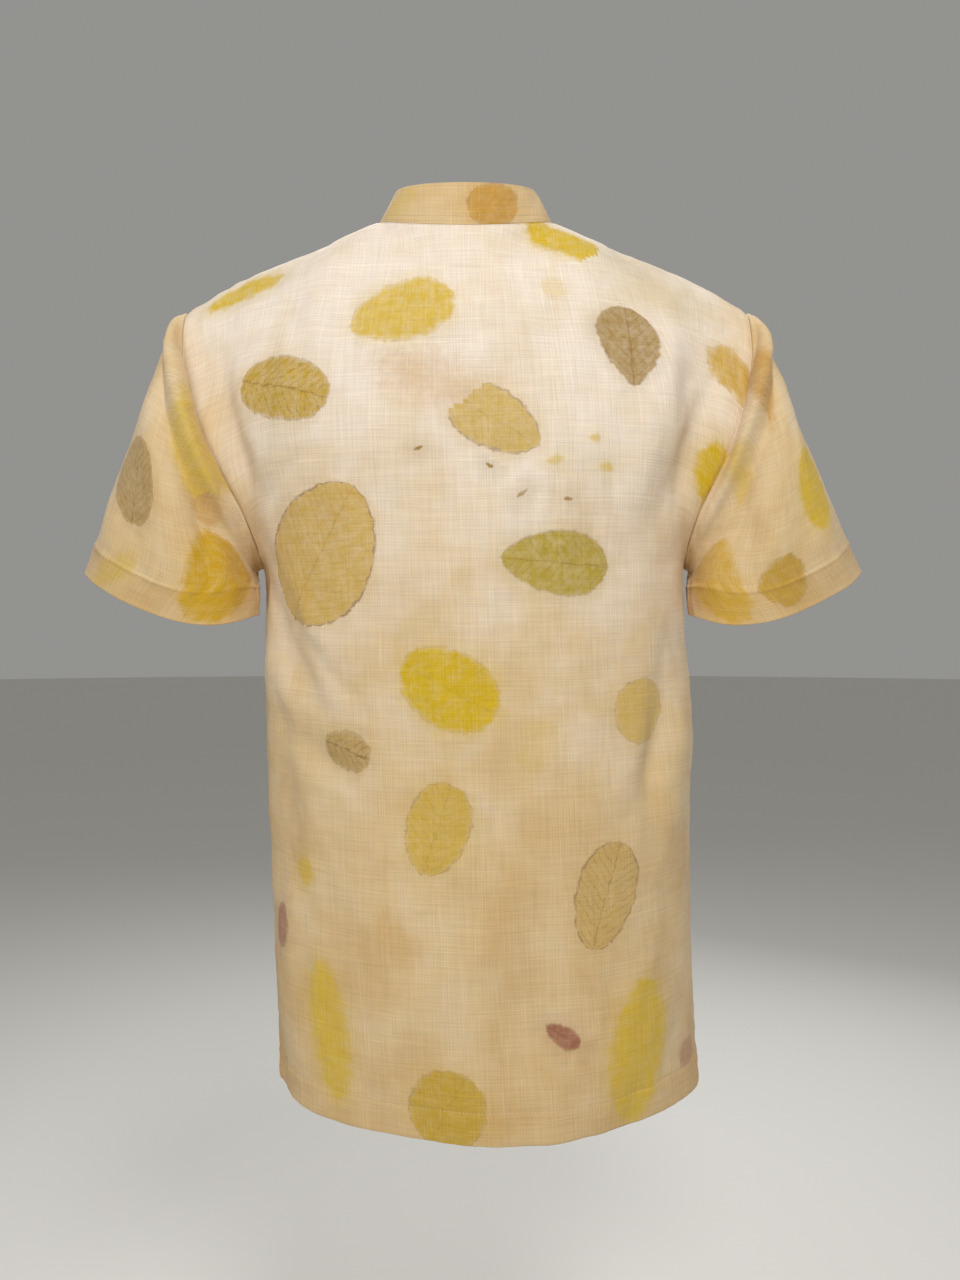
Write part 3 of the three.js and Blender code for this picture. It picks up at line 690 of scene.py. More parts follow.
def sleeve_cloth(side):
    """A sleeve from its underarm seam over the back, the top and the front to that seam again."""
    name = "left" if side > 0 else "right"
    edge = np.array(SLEEVE_EDGE)
    inner = np.array(between(edge[-1], 360 - edge[-1], SLEEVE_COLUMNS)) + 1
    angles = 180 - np.concatenate([edge, inner[1:-1], 360 - edge[::-1]])
    down = sleeve_levels(angles, side)
    angle = np.tile(angles, (len(down), 1))
    cloth = Cloth(sleeve_point(angle, down, side), side)
    x, z = cloth.place[..., 0], cloth.place[..., 2]
    behind = np.sin(np.radians(angle))
    fade = smoothstep(np.abs(behind), 0, 0.4) * smoothstep(down, 0, 0.4)
    seed = LEFT_SEED if side > 0 else RIGHT_SEED
    below_top = cloth.height - cloth.q
    away = cloth.beside_edge()
    calm = smoothstep(below_top, 0, 20) * smoothstep(away, 0, 18)
    rise = np.zeros_like(x)
    for face, facing in (("back", behind > 0), ("front", behind <= 0)):
        rise += facing * fade * fold_rise(SLEEVE_FOLDS[name, face], x, z)
        rise += facing * fade * fold_rise(SLEEVE_CREASES[name, face], x, z)
    cloth.add_waves(rise, SLEEVE_WAVES, calm, 1, seed)
    rise += seam_relief(below_top, cloth.p, seed + 3)
    rise += seam_relief(away, cloth.q, seed + 4)
    rise += hem_relief(cloth.q, cloth.p, SLEEVE_HEM, seed + 5)
    cloth.move_out(rise)
    cloth.hang()
    cloth.behind = behind
    return cloth


COLLAR_COLUMNS = 221
COLLAR_ROWS = [0, 0.02, 0.05, 0.1, 0.14, 0.18, 0.24, 0.3, 0.37, 0.45, 0.53, 0.61, 0.69, 0.76, 0.82,
               0.86, 0.9, 0.95, 0.98, 1]
STITCH_GROOVE = 1.2


def collar_cloth():
    """The band on the neckline, from its right end round the back to its left end."""
    end = 180 - math.degrees(math.asin(COLLAR_ENDS_GAP / 2 / NECK_SIDE[0]))
    turns = end * np.sin(np.linspace(-1, 1, COLLAR_COLUMNS) * math.pi / 2)
    turn, height = np.meshgrid(turns, COLLAR_ROWS)
    flat_turn = turn.ravel()
    quarter = np.where(np.abs(flat_turn) > 90, 180 - np.abs(flat_turn), np.abs(flat_turn))
    front = (np.abs(flat_turn) > 90)[:, None]
    foot = np.where(front, neck_point(NECK_SIDE, FRONT_NECK, quarter),
                    neck_point(NECK_SIDE, BACK_NECK, quarter))
    top = np.where(front, neck_point(COLLAR_TOP["side"], COLLAR_TOP["front"], quarter),
                   neck_point(COLLAR_TOP["side"], COLLAR_TOP["back"], quarter))
    up = top - foot
    tall = np.linalg.norm(up, axis=1)
    from_end = np.minimum(np.radians(end - np.abs(flat_turn)) * NECK_SIDE[0], COLLAR_CORNER)
    corner = COLLAR_CORNER - np.sqrt(COLLAR_CORNER**2 - (COLLAR_CORNER - from_end) ** 2)
    lift = COLLAR_SEAT + (tall - COLLAR_SEAT - corner) * height.ravel()
    made = foot + up / tall[:, None] * lift[:, None]
    made[:, 0] *= np.where(flat_turn < 0, -1, 1)
    cloth = Cloth(made.reshape(*turn.shape, 3), -1)
    sag = np.sin(math.pi * height)
    rise = 0.5 * sag * waves(cloth.p, cloth.q, 60, 1, COLLAR_SEED)
    rise += 0.18 * sag * waves(cloth.p, cloth.q, 18, 1, COLLAR_SEED + 1)
    for row in COLLAR_STITCH_HEIGHTS:
        rise -= 0.4 * np.exp(-(((height - row) * COLLAR_HEIGHT / STITCH_GROOVE) ** 2))
    rise += 0.22 * waves(cloth.p, cloth.q, 11, 2, COLLAR_SEED + 2) * np.exp(-cloth.q / 9)
    foot_edge, top_edge = (0.5 * np.exp(-((from_edge * COLLAR_HEIGHT / STITCH_GROOVE) ** 2))
                           for from_edge in (height, 1 - height))
    rise -= foot_edge + top_edge
    cloth.move_out(rise)
    cloth.hang()
    return cloth


# ---------------------------------------------------------------- prints


class Leaf(NamedTuple):
    """A leaf's print: where its middle lies, its half length and half width, and the angle that its tip
    points to as seen from outside. Then how blunt and how egg-shaped it is, how soft its edge is in
    millimetres, how strong its face, its outline and its veins are, and the colour of its dye."""
    x: float
    z: float
    half_length: float
    half_width: float
    angle: float
    blunt: float
    egg: float
    soft: float
    fill: float
    edge: float
    vein: float
    dye: str


YELLOW = "#D3B02E"
BRIGHT = "#D3B01C"
OLIVE = "#AE9626"
TAN = "#BF983C"
AMBER = "#C0903A"
UMBER = "#9C7E40"
ROSE = "#9E624C"

BACK_LEAVES = [
    Leaf(50, -102, 43, 25, 16, 0.5, 0.15, 5, 0.72, 0.1, 0.1, YELLOW),
    Leaf(151, -165, 37, 26, -14, 0.4, 0.1, 3, 0.76, 0.4, 0.8, "#BF9C3C"),
    Leaf(-134, -129, 34, 24, 94, 0.55, 0.4, 2, 0.76, 0.45, 0.7, "#A88A52"),
    Leaf(-21, -193, 41, 24, -31, 0.55, -0.15, 2.5, 0.66, 0.55, 0.25, "#C9A646"),
    Leaf(121, -299, 60, 45, 60, 0.55, -0.12, 2.5, 0.7, 0.75, 0.35, "#CBA54A"),
    Leaf(-66, -308, 44, 25, 176, 0.55, -0.25, 2, 0.76, 0.35, 0.5, "#B59C3A"),
    Leaf(20, -410, 42, 31, -30, 0.5, 0.05, 5, 0.8, 0.15, 0.2, BRIGHT),
    Leaf(106, -457, 20, 15, -20, 0.45, 0.1, 3, 0.65, 0.35, 0.9, "#B0904E"),
    Leaf(33, -519, 38, 25, 72, 0.5, 0.12, 4, 0.72, 0.4, 0.3, "#CDAA44"),
    Leaf(-136, -426, 27, 21, 80, 0.5, 0, 4, 0.6, 0.3, 0, "#CFAA48"),
    Leaf(-99, -578, 44, 25, 72, 0.5, 0.15, 3, 0.6, 0.65, 0.6, "#C4A052"),
    Leaf(127, -691, 58, 18, 96, 0.55, 0, 9, 0.7, 0, 0, YELLOW),
    Leaf(34, -740, 31, 30, 60, 0.45, 0, 3.5, 0.78, 0.3, 0.2, "#C3A038"),
    Leaf(-127, -707, 60, 25, 80, 0.55, 0, 9, 0.72, 0, 0, YELLOW),
    Leaf(-62, -686, 15, 8, -34, 0.5, 0.2, 2, 0.75, 0.4, 0.6, ROSE),
    Leaf(147, -560, 12, 7, 90, 0.5, 0, 4, 0.6, 0, 0, BRIGHT),
    Leaf(172, -613, 19, 6, 84, 0.5, 0, 3, 0.65, 0.3, 0.4, ROSE),
    Leaf(-84, -36, 46, 16, -24, 0.5, 0, 8, 0.8, 0, 0, BRIGHT),
    Leaf(-150, -70, 60, 30, -24, 0.5, 0, 26, 0.16, 0, 0, OLIVE),
    Leaf(-150, -62, 34, 12, -24, 0.5, 0, 12, 0.3, 0, 0, YELLOW),
    Leaf(190, -70, 36, 10, 22, 0.5, 0, 6, 0.75, 0, 0, BRIGHT),
    Leaf(-73, -84, 11, 10, 0, 0.5, 0, 6, 0.3, 0, 0, YELLOW),
    Leaf(-222, -147, 20, 18, 90, 0.4, 0, 7, 0.75, 0.15, 0, "#C9A245"),
    Leaf(-205, -232, 24, 14, 70, 0.5, 0, 7, 0.85, 0, 0, BRIGHT),
    Leaf(-68, -227, 7, 4, 20, 0.5, 0, 3, 0.5, 0, 0, BRIGHT),
    Leaf(-99, -209, 5, 4, 0, 0.5, 0, 3, 0.5, 0, 0, BRIGHT),
    Leaf(-108, -231, 6, 4, 0, 0.5, 0, 3, 0.5, 0, 0, BRIGHT),
    Leaf(40, -220, 4, 1.6, 20, 0.5, 0, 1, 0.8, 0, 0, UMBER),
    Leaf(-17, -230, 3, 1.5, -30, 0.5, 0, 1, 0.8, 0, 0, UMBER),
    Leaf(-42, -255, 5, 1.6, 40, 0.5, 0, 1, 0.7, 0, 0, UMBER),
    Leaf(-79, -257, 4, 1.5, 0, 0.5, 0, 1, 0.7, 0, 0, UMBER),
    Leaf(28, -166, 50, 20, 158, 0.5, 0, 20, 0.32, 0, 0, AMBER),
    Leaf(-171, -723, 12, 8, 60, 0.5, 0, 5, 0.45, 0, 0, ROSE),
    Leaf(-48, -455, 22, 14, 70, 0.5, 0, 11, 0.22, 0, 0, YELLOW),
    Leaf(70, -610, 26, 15, 120, 0.5, 0, 12, 0.24, 0, 0, AMBER),
]
FRONT_LEAVES = [
    Leaf(95, -150, 40, 24, 70, 0.45, 0.2, 3, 0.65, 0.5, 0.8, UMBER),
    Leaf(-92, -178, 42, 26, -20, 0.48, 0, 3, 0.65, 0.45, 0.3, TAN),
    Leaf(-140, -110, 30, 12, 20, 0.5, 0, 6, 0.65, 0, 0, BRIGHT),
    Leaf(142, -262, 34, 24, 110, 0.45, 0.15, 3, 0.7, 0.3, 0.5, OLIVE),
    Leaf(62, -300, 40, 28, -40, 0.5, 0, 5, 0.78, 0.15, 0.2, BRIGHT),
    Leaf(-66, -330, 50, 33, 60, 0.42, 0.1, 3, 0.55, 0.6, 0.4, TAN),
    Leaf(-150, -300, 20, 15, 10, 0.45, 0.1, 3, 0.7, 0.35, 0.9, UMBER),
    Leaf(30, -430, 38, 22, 86, 0.45, 0.2, 3, 0.6, 0.5, 0.6, TAN),
    Leaf(126, -420, 44, 26, 150, 0.45, -0.2, 4, 0.72, 0.3, 0.4, OLIVE),
    Leaf(-108, -470, 40, 24, 96, 0.5, 0, 8, 0.6, 0, 0, YELLOW),
    Leaf(-16, -545, 44, 30, -24, 0.48, 0, 4, 0.75, 0.2, 0.25, BRIGHT),
    Leaf(96, -560, 34, 23, 74, 0.45, 0.15, 3, 0.7, 0.5, 0.9, UMBER),
    Leaf(-120, -610, 46, 25, 64, 0.45, 0.1, 3, 0.55, 0.6, 0.5, TAN),
    Leaf(150, -660, 56, 20, 92, 0.55, 0, 9, 0.68, 0, 0, YELLOW),
    Leaf(40, -690, 34, 26, 40, 0.45, 0, 4, 0.65, 0.3, 0.3, TAN),
    Leaf(-60, -712, 18, 9, 30, 0.5, 0.2, 2, 0.75, 0.4, 0.6, ROSE),
    Leaf(-150, -720, 40, 20, 84, 0.55, 0, 9, 0.66, 0, 0, YELLOW),
    Leaf(0, -250, 9, 6, 20, 0.5, 0, 4, 0.5, 0, 0, BRIGHT),
    Leaf(-30, -180, 6, 2, 50, 0.5, 0, 1, 0.7, 0, 0, UMBER),
]
LEFT_SLEEVE_LEAVES = {
    "back": [
        Leaf(277, -238, 36, 18, 82, 0.5, 0.1, 3, 0.62, 0.4, 0.7, "#A38344"),
        Leaf(222, -200, 46, 13, 58, 0.5, 0, 8, 0.6, 0, 0, YELLOW),
        Leaf(222, -258, 20, 15, 60, 0.5, 0, 9, 0.5, 0, 0, AMBER),
        # a yellow print darkened with painted shade, where the sleeve's underside turns in towards the body
        # away from the light
        Leaf(204, -312, 36, 20, 90, 0.5, 0, 8, 0.78, 0, 0, "#C79C18"),
        Leaf(300, -310, 26, 10, 20, 0.5, 0, 7, 0.4, 0, 0, YELLOW),
    ],
    "front": [
        Leaf(268, -210, 36, 22, 100, 0.45, 0.1, 3, 0.62, 0.5, 0.5, TAN),
        Leaf(232, -300, 34, 18, 80, 0.5, 0, 8, 0.66, 0, 0, YELLOW),
        Leaf(300, -300, 20, 14, 30, 0.45, 0.1, 3, 0.68, 0.3, 0.8, UMBER),
    ],
}
RIGHT_SLEEVE_LEAVES = {
    "back": [
        Leaf(-255, -322, 21, 19, 70, 0.4, 0, 3.5, 0.8, 0.25, 0.15, TAN),
        Leaf(-285, -244, 34, 14, 108, 0.5, 0, 6, 0.8, 0, 0, YELLOW),
        Leaf(-244, -150, 36, 13, 100, 0.5, 0, 7, 0.65, 0, 0, AMBER),
        # a yellow print darkened with painted shade, where the sleeve's underside turns in towards the body
        # away from the light
        Leaf(-198, -316, 34, 16, 92, 0.5, 0, 8, 0.66, 0, 0, "#C79C18"),
        Leaf(-226, -230, 30, 10, 116, 0.5, 0, 8, 0.4, 0, 0, YELLOW),
    ],
    "front": [
        Leaf(-262, -230, 40, 24, 76, 0.45, 0.1, 3, 0.65, 0.5, 0.5, OLIVE),
        Leaf(-224, -306, 34, 18, 96, 0.5, 0, 8, 0.66, 0, 0, YELLOW),
        Leaf(-304, -296, 18, 12, 140, 0.45, 0.1, 3, 0.62, 0.3, 0.6, TAN),
    ],
}
COLLAR_LEAVES = [
    Leaf(-24, -6, 21, 20, 0, 0.45, 0, 4, 0.75, 0.35, 0.2, AMBER),
    Leaf(56, 6, 16, 9, 30, 0.5, 0, 6, 0.35, 0, 0, YELLOW),
]
FRONT_COLLAR_LEAVES = [Leaf(44, -30, 18, 12, 20, 0.45, 0, 4, 0.6, 0.3, 0.3, TAN)]

BEHIND = -1             # the sign of x on the right of someone who looks from behind
BEFORE = 1
MOST_STRETCH = 1.9
NOT_SEEN = 1e9


def find_leaves(cloth, leaves, seen, right):
    """Each leaf with its middle, direction and size in the cloth's own p and q, so that it has its stated
    angle and size as seen. seen says which places face the viewer, and right is BEHIND or BEFORE."""
    x = cloth.place[..., 0] - sway(cloth.place[..., 2])
    z = cloth.place[..., 2]
    found = []
    for leaf in leaves:
        far = (x - leaf.x) ** 2 + (z - leaf.z) ** 2 + np.where(seen, 0, NOT_SEEN)
        row, column = np.unravel_index(np.argmin(far), far.shape)
        row, column = np.clip(row, 2, len(x) - 3), np.clip(column, 2, x.shape[1] - 3)
        sides, ends = (row, column - 2), (row, column + 2)
        feet, heads = (row - 2, column), (row + 2, column)
        seen_steps, cloth_steps = (
            np.array([[one[ends] - one[sides], one[heads] - one[feet]] for one in pair])
            for pair in ((x, z), (cloth.p, cloth.q)))
        angle = math.radians(leaf.angle)
        wanted = np.array([[right * math.cos(angle), -right * math.sin(angle)],
                           [math.sin(angle), math.cos(angle)]])
        along, beside = (cloth_steps @ np.linalg.inv(seen_steps) @ wanted).T
        sized = leaf._replace(half_length=leaf.half_length * min(np.hypot(*along), MOST_STRETCH),
                              half_width=leaf.half_width * min(np.hypot(*beside), MOST_STRETCH))
        found.append((sized, cloth.p[row, column], cloth.q[row, column], math.atan2(along[1], along[0])))
    return found


def leaf_attributes(mesh, print_p, print_q, found):
    """Gives each face the sizes of the leaf that it is nearest to, from which the material draws the leaf."""
    corners = np.empty(len(mesh.loops), int)
    mesh.loops.foreach_get("vertex_index", corners)
    starts = np.empty(len(mesh.polygons), int)
    mesh.polygons.foreach_get("loop_start", starts)
    first, third = corners[starts], corners[starts + 2]
    p = (print_p[first] + print_p[third]) / 2
    q = (print_q[first] + print_q[third]) / 2
    near = []
    for leaf, leaf_p, leaf_q, turn in found:
        along = (p - leaf_p) * math.cos(turn) + (q - leaf_q) * math.sin(turn)
        beside = (q - leaf_q) * math.cos(turn) - (p - leaf_p) * math.sin(turn)
        reach = np.hypot(along / leaf.half_length, beside / leaf.half_width)
        near.append((reach - 1) * min(leaf.half_length, leaf.half_width))
    nearest = np.argmin(np.array(near), axis=0)
    tables = {
        "leaf_place": [(leaf_p, leaf_q, turn) for _, leaf_p, leaf_q, turn in found],
        "leaf_size": [(leaf.half_length, leaf.half_width, leaf.soft) for leaf, *_ in found],
        "leaf_form": [(leaf.blunt, leaf.egg, leaf.fill) for leaf, *_ in found],
        "leaf_look": [(leaf.edge, leaf.vein, 0) for leaf, *_ in found],
        "leaf_dye": [linear(leaf.dye) for leaf, *_ in found],
    }
    for name, table in tables.items():
        values = np.array(table, float)[nearest]
        mesh.attributes.new(name, "FLOAT_VECTOR", "FACE").data.foreach_set("vector", values.ravel())


# ---------------------------------------------------------------- shells


def shell(name, cloth, thickness, keep=None):
    """A thin closed shell inside a cloth surface. keep says which cells it has."""
    rows, columns = cloth.p.shape
    inner = cloth.place - cloth.normal * (thickness * np.ones((rows, columns)))[..., None]
    points = np.concatenate([cloth.place.reshape(-1, 3), inner.reshape(-1, 3)]) * MM
    index = np.arange(rows * columns).reshape(rows, columns)
    under = index + rows * columns
    keep = np.ones((rows - 1, columns - 1), bool) if keep is None else keep
    ring = np.pad(keep, 1)
    a, b, c, d = index[:-1, :-1], index[:-1, 1:], index[1:, 1:], index[1:, :-1]
    ua, ub, uc, ud = under[:-1, :-1], under[:-1, 1:], under[1:, 1:], under[1:, :-1]
    quads = []
    for mask, corners in (
        (keep, (a, b, c, d)),
        (keep, (ua, ud, uc, ub)),
        (keep & ~ring[:-2, 1:-1], (ua, ub, b, a)),
        (keep & ~ring[2:, 1:-1], (d, c, uc, ud)),
        (keep & ~ring[1:-1, :-2], (ua, a, d, ud)),
        (keep & ~ring[1:-1, 2:], (b, ub, uc, c)),
    ):
        quads.append(np.stack([corner[mask] for corner in corners], axis=-1))
    quads = np.concatenate(quads)
    if cloth.outward < 0:
        quads = quads[:, ::-1]
    mesh = bpy.data.meshes.new(f"{name}_cloth")
    mesh.from_pydata(points.tolist(), [], quads.tolist())
    mesh.shade_smooth()
    made = bpy.data.objects.new(f"{name}_cloth", mesh)
    bpy.context.scene.collection.objects.link(made)
    return made


def print_on(made, cloth, found, dye):
    """Gives a shell its cloth coordinates, how much dye the ground holds together with any painted shade put
    into it, and its leaves.
    """
    p = np.tile(cloth.p.ravel(), 2)
    q = np.tile(cloth.q.ravel(), 2)
    depth = np.tile(np.broadcast_to(dye, cloth.p.shape).ravel(), 2)
    values = np.stack([p, q, depth], axis=-1)
    made.data.attributes.new("cloth", "FLOAT_VECTOR", "POINT").data.foreach_set("vector", values.ravel())
    leaf_attributes(made.data, p, q, found)


def sewn_piece(made, node, material):
    """Finishes a cloth piece that stands for one solid."""
    made.data.materials.append(material)
    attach(made, "root")
    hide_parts(node)


# ---------------------------------------------------------------- materials


def add(tree, kind, inputs=None, **settings):
    """Adds a node. inputs are values, sockets or nodes by the input's name or number."""
    made = tree.nodes.new(kind)
    for name, value in settings.items():
        setattr(made, name, value)
    for key, value in (inputs or {}).items():
        if isinstance(value, bpy.types.Node):
            value = value.outputs[0]
        if isinstance(value, bpy.types.NodeSocket):
            tree.links.new(value, made.inputs[key])
        else:
            made.inputs[key].default_value = value
    return made


def empty_material(name):
    material = bpy.data.materials.new(name)
    material.use_nodes = True
    material.node_tree.nodes.clear()
    return material, material.node_tree


THREAD_MM = 1.15            # the real threads are 0.6 mm apart; drawn coarser, so that they show
SLUB_MM = 32                # how far a thick stretch of one thread runs
VEIN_MM = 7.5               # between two side veins of a leaf
CLOUDS_PER_MM = 0.014       # the ground's clouds are some 70 mm wide
RAGS_PER_MM = 0.12          # the outline's raggedness, some 8 mm
MOTTLES_PER_MM = 0.11       # the mottled face, some 9 mm
HALO_MM = 18                # how far the dye bled out round a leaf
LINE_STRENGTH = 0.8


def thread_noise(tree, beside, along):
    """Thick and thin stretches of parallel threads. Each thread's own shift keeps them from lining up."""
    count = add(tree, "ShaderNodeMath", {0: beside, 1: 1 / THREAD_MM}, operation="MULTIPLY")
    shift = add(tree, "ShaderNodeTexNoise", {"W": count, "Scale": 0.7, "Detail": 0.0}, noise_dimensions="1D")
    run = add(tree, "ShaderNodeMath", {0: along, 1: 1 / SLUB_MM}, operation="MULTIPLY")
    shifted = add(tree, "ShaderNodeMath", {0: shift, 1: 9.0, 2: run}, operation="MULTIPLY_ADD")
    place = add(tree, "ShaderNodeCombineXYZ", {0: count, 1: shifted})
    return add(tree, "ShaderNodeTexNoise", {"Vector": place, "Scale": 1.0, "Detail": 1.0},
               noise_dimensions="2D")


def printed_linen(name):
    """Plain-woven linen with contact prints: matt, with thick and thin threads both ways, a cloudy ground
    that the dye bath left uneven, and leaves with soft dyed faces and thin tannin-brown edges and veins.
    The ground's depth also carries painted shade by the panels' side seams, and two sleeve leaves are
    darkened with painted shade."""
    settings = bpy.context.scene.kurta_cloth
    material, tree = empty_material(name)
    cloth, place, size, form, look, dye = (
        add(tree, "ShaderNodeAttribute", attribute_name=attribute).outputs["Vector"]
        for attribute in ("cloth", "leaf_place", "leaf_size", "leaf_form", "leaf_look", "leaf_dye"))
    half_length, half_width, soft = add(tree, "ShaderNodeSeparateXYZ", {0: size}).outputs
    blunt, egg, fill = add(tree, "ShaderNodeSeparateXYZ", {0: form}).outputs
    edge, vein, _ = add(tree, "ShaderNodeSeparateXYZ", {0: look}).outputs
    flat = add(tree, "ShaderNodeVectorMath", {0: cloth, 1: (1, 1, 0)}, operation="MULTIPLY")

    # the weave: threads across and along, thick and thin
    across, up, depth = add(tree, "ShaderNodeSeparateXYZ", {0: cloth}).outputs
    warp = thread_noise(tree, across, up)
    weft = thread_noise(tree, up, across)
    threads = add(tree, "ShaderNodeMath", {0: warp, 1: weft}, operation="ADD")

    # the ground: its dye depth, with the painted shade by the panels' side seams, under clouds
    cloud = add(tree, "ShaderNodeTexNoise", {
        "Vector": flat, "Scale": CLOUDS_PER_MM, "Detail": 3.0, "Roughness": 0.6}, noise_dimensions="2D")
    cloud_part = add(tree, "ShaderNodeMapRange", {0: cloud, 1: 0.3, 2: 0.7, 3: -0.15, 4: 0.13})
    ground_dye_and_shade = add(tree, "ShaderNodeMath", {0: depth, 1: cloud_part}, operation="ADD", use_clamp=True)
    ground = add(tree, "ShaderNodeValToRGB", {0: ground_dye_and_shade})
    stops = ground.color_ramp.elements
    stops[0].color = (*settings.cream, 1)
    stops[1].color = (*settings.ochre, 1)
    middle = stops.new(0.5)
    middle.color = (*settings.beige, 1)

    # a leaf's own directions: along its midrib and beside it, a little uneven
    away = add(tree, "ShaderNodeVectorMath", {0: cloth, 1: place}, operation="SUBTRACT")
    slant = add(tree, "ShaderNodeSeparateXYZ", {0: place}).outputs["Z"]
    turn = add(tree, "ShaderNodeMath", {0: slant, 1: -1.0}, operation="MULTIPLY")
    turned = add(tree, "ShaderNodeVectorRotate", {"Vector": away, "Angle": turn}, rotation_type="Z_AXIS")
    ragged = add(tree, "ShaderNodeTexNoise", {
        "Vector": flat, "Scale": RAGS_PER_MM, "Detail": 3.0, "Roughness": 0.6}, noise_dimensions="2D")
    shake = add(tree, "ShaderNodeVectorMath", {0: ragged.outputs["Color"], 1: (0.5, 0.5, 0.5)},
                operation="SUBTRACT")
    raggedness = add(tree, "ShaderNodeMath", {0: soft, 1: 1.2, 2: 2.5}, operation="MULTIPLY_ADD")
    shift = add(tree, "ShaderNodeVectorMath", {0: shake, "Scale": raggedness}, operation="SCALE")
    shaken = add(tree, "ShaderNodeVectorMath", {0: shift, 1: turned}, operation="ADD")
    along, beside, _ = add(tree, "ShaderNodeSeparateXYZ", {0: shaken}).outputs
    beside = add(tree, "ShaderNodeMath", {0: beside}, operation="ABSOLUTE")

    # how far inside the leaf's outline, in millimetres
    share = add(tree, "ShaderNodeMath", {0: along, 1: half_length}, operation="DIVIDE")
    square = add(tree, "ShaderNodeMath", {0: share, 1: share}, operation="MULTIPLY")
    left = add(tree, "ShaderNodeMath", {0: 1.0, 1: square}, operation="SUBTRACT", use_clamp=True)
    round_part = add(tree, "ShaderNodeMath", {0: left, 1: blunt}, operation="POWER")
    egg_part = add(tree, "ShaderNodeMath", {0: share, 1: egg, 2: 1.0}, operation="MULTIPLY_ADD")
    wide = add(tree, "ShaderNodeMath", {0: round_part, 1: egg_part}, operation="MULTIPLY")
    wide_mm = add(tree, "ShaderNodeMath", {0: wide, 1: half_width}, operation="MULTIPLY")
    inside_side = add(tree, "ShaderNodeMath", {0: wide_mm, 1: beside}, operation="SUBTRACT")
    end_share = add(tree, "ShaderNodeMath", {0: share}, operation="ABSOLUTE")
    to_end = add(tree, "ShaderNodeMath", {0: 1.0, 1: end_share}, operation="SUBTRACT")
    inside_end = add(tree, "ShaderNodeMath", {0: to_end, 1: half_length}, operation="MULTIPLY")
    inside = add(tree, "ShaderNodeMath", {0: inside_side, 1: inside_end}, operation="MINIMUM")
    outside_soft = add(tree, "ShaderNodeMath", {0: soft, 1: -1.0}, operation="MULTIPLY")
    face = add(tree, "ShaderNodeMapRange", {0: inside, 1: outside_soft, 2: soft, 3: 0.0, 4: 1.0},
               interpolation_type="SMOOTHSTEP")

    # its dyed face, mottled, with a faint halo
    mottle = add(tree, "ShaderNodeTexNoise", {
        "Vector": flat, "Scale": MOTTLES_PER_MM, "Detail": 4.0, "Roughness": 0.7}, noise_dimensions="2D")
    mottle_part = add(tree, "ShaderNodeMapRange", {0: mottle, 1: 0.3, 2: 0.65, 3: 0.78, 4: 1.05})
    strong = add(tree, "ShaderNodeMath", {0: fill, 1: 1.25}, operation="MULTIPLY", use_clamp=True)
    filled = add(tree, "ShaderNodeMath", {0: face, 1: strong}, operation="MULTIPLY")
    filled_part = add(tree, "ShaderNodeMath", {0: filled, 1: mottle_part}, operation="MULTIPLY")
    halo = add(tree, "ShaderNodeMapRange", {0: inside, 1: -HALO_MM, 2: 2.0, 3: 0.0, 4: 0.3},
               interpolation_type="SMOOTHSTEP")
    halo_part = add(tree, "ShaderNodeMath", {0: halo, 1: fill}, operation="MULTIPLY")
    dyed = add(tree, "ShaderNodeMath", {0: filled_part, 1: halo_part}, operation="MAXIMUM")

    # its brown lines: the outline, the midrib and the side veins
    off_line = add(tree, "ShaderNodeMath", {0: inside}, operation="ABSOLUTE")
    outline = add(tree, "ShaderNodeMapRange", {0: off_line, 1: 0.2, 2: 2.0, 3: 1.0, 4: 0.0},
                  interpolation_type="SMOOTHSTEP")
    broken = add(tree, "ShaderNodeMapRange", {0: ragged, 1: 0.4, 2: 0.55, 3: 0.35, 4: 1.0})
    outline_edge = add(tree, "ShaderNodeMath", {0: outline, 1: edge}, operation="MULTIPLY")
    outline_part = add(tree, "ShaderNodeMath", {0: outline_edge, 1: broken}, operation="MULTIPLY")
    rib = add(tree, "ShaderNodeMapRange", {0: beside, 1: 0.3, 2: 1.3, 3: 0.8, 4: 0.0},
              interpolation_type="SMOOTHSTEP")
    forward = add(tree, "ShaderNodeMath", {0: beside, 1: -0.85, 2: along}, operation="MULTIPLY_ADD")
    turns = add(tree, "ShaderNodeMath", {0: forward, 1: 2 * math.pi / VEIN_MM}, operation="MULTIPLY")
    wave = add(tree, "ShaderNodeMath", {0: turns}, operation="SINE")
    side_veins = add(tree, "ShaderNodeMapRange", {0: wave, 1: 0.72, 2: 1.0, 3: 0.0, 4: 0.55})
    ribs = add(tree, "ShaderNodeMath", {0: rib, 1: side_veins}, operation="MAXIMUM")
    ribs_inside = add(tree, "ShaderNodeMath", {0: ribs, 1: face}, operation="MULTIPLY")
    ribs_shown = add(tree, "ShaderNodeMath", {0: ribs_inside, 1: vein}, operation="MULTIPLY")
    ribs_part = add(tree, "ShaderNodeMath", {0: ribs_shown, 1: broken}, operation="MULTIPLY")
    lines = add(tree, "ShaderNodeMath", {0: outline_part, 1: ribs_part}, operation="MAXIMUM")
    lines_part = add(tree, "ShaderNodeMath", {0: lines, 1: LINE_STRENGTH}, operation="MULTIPLY")

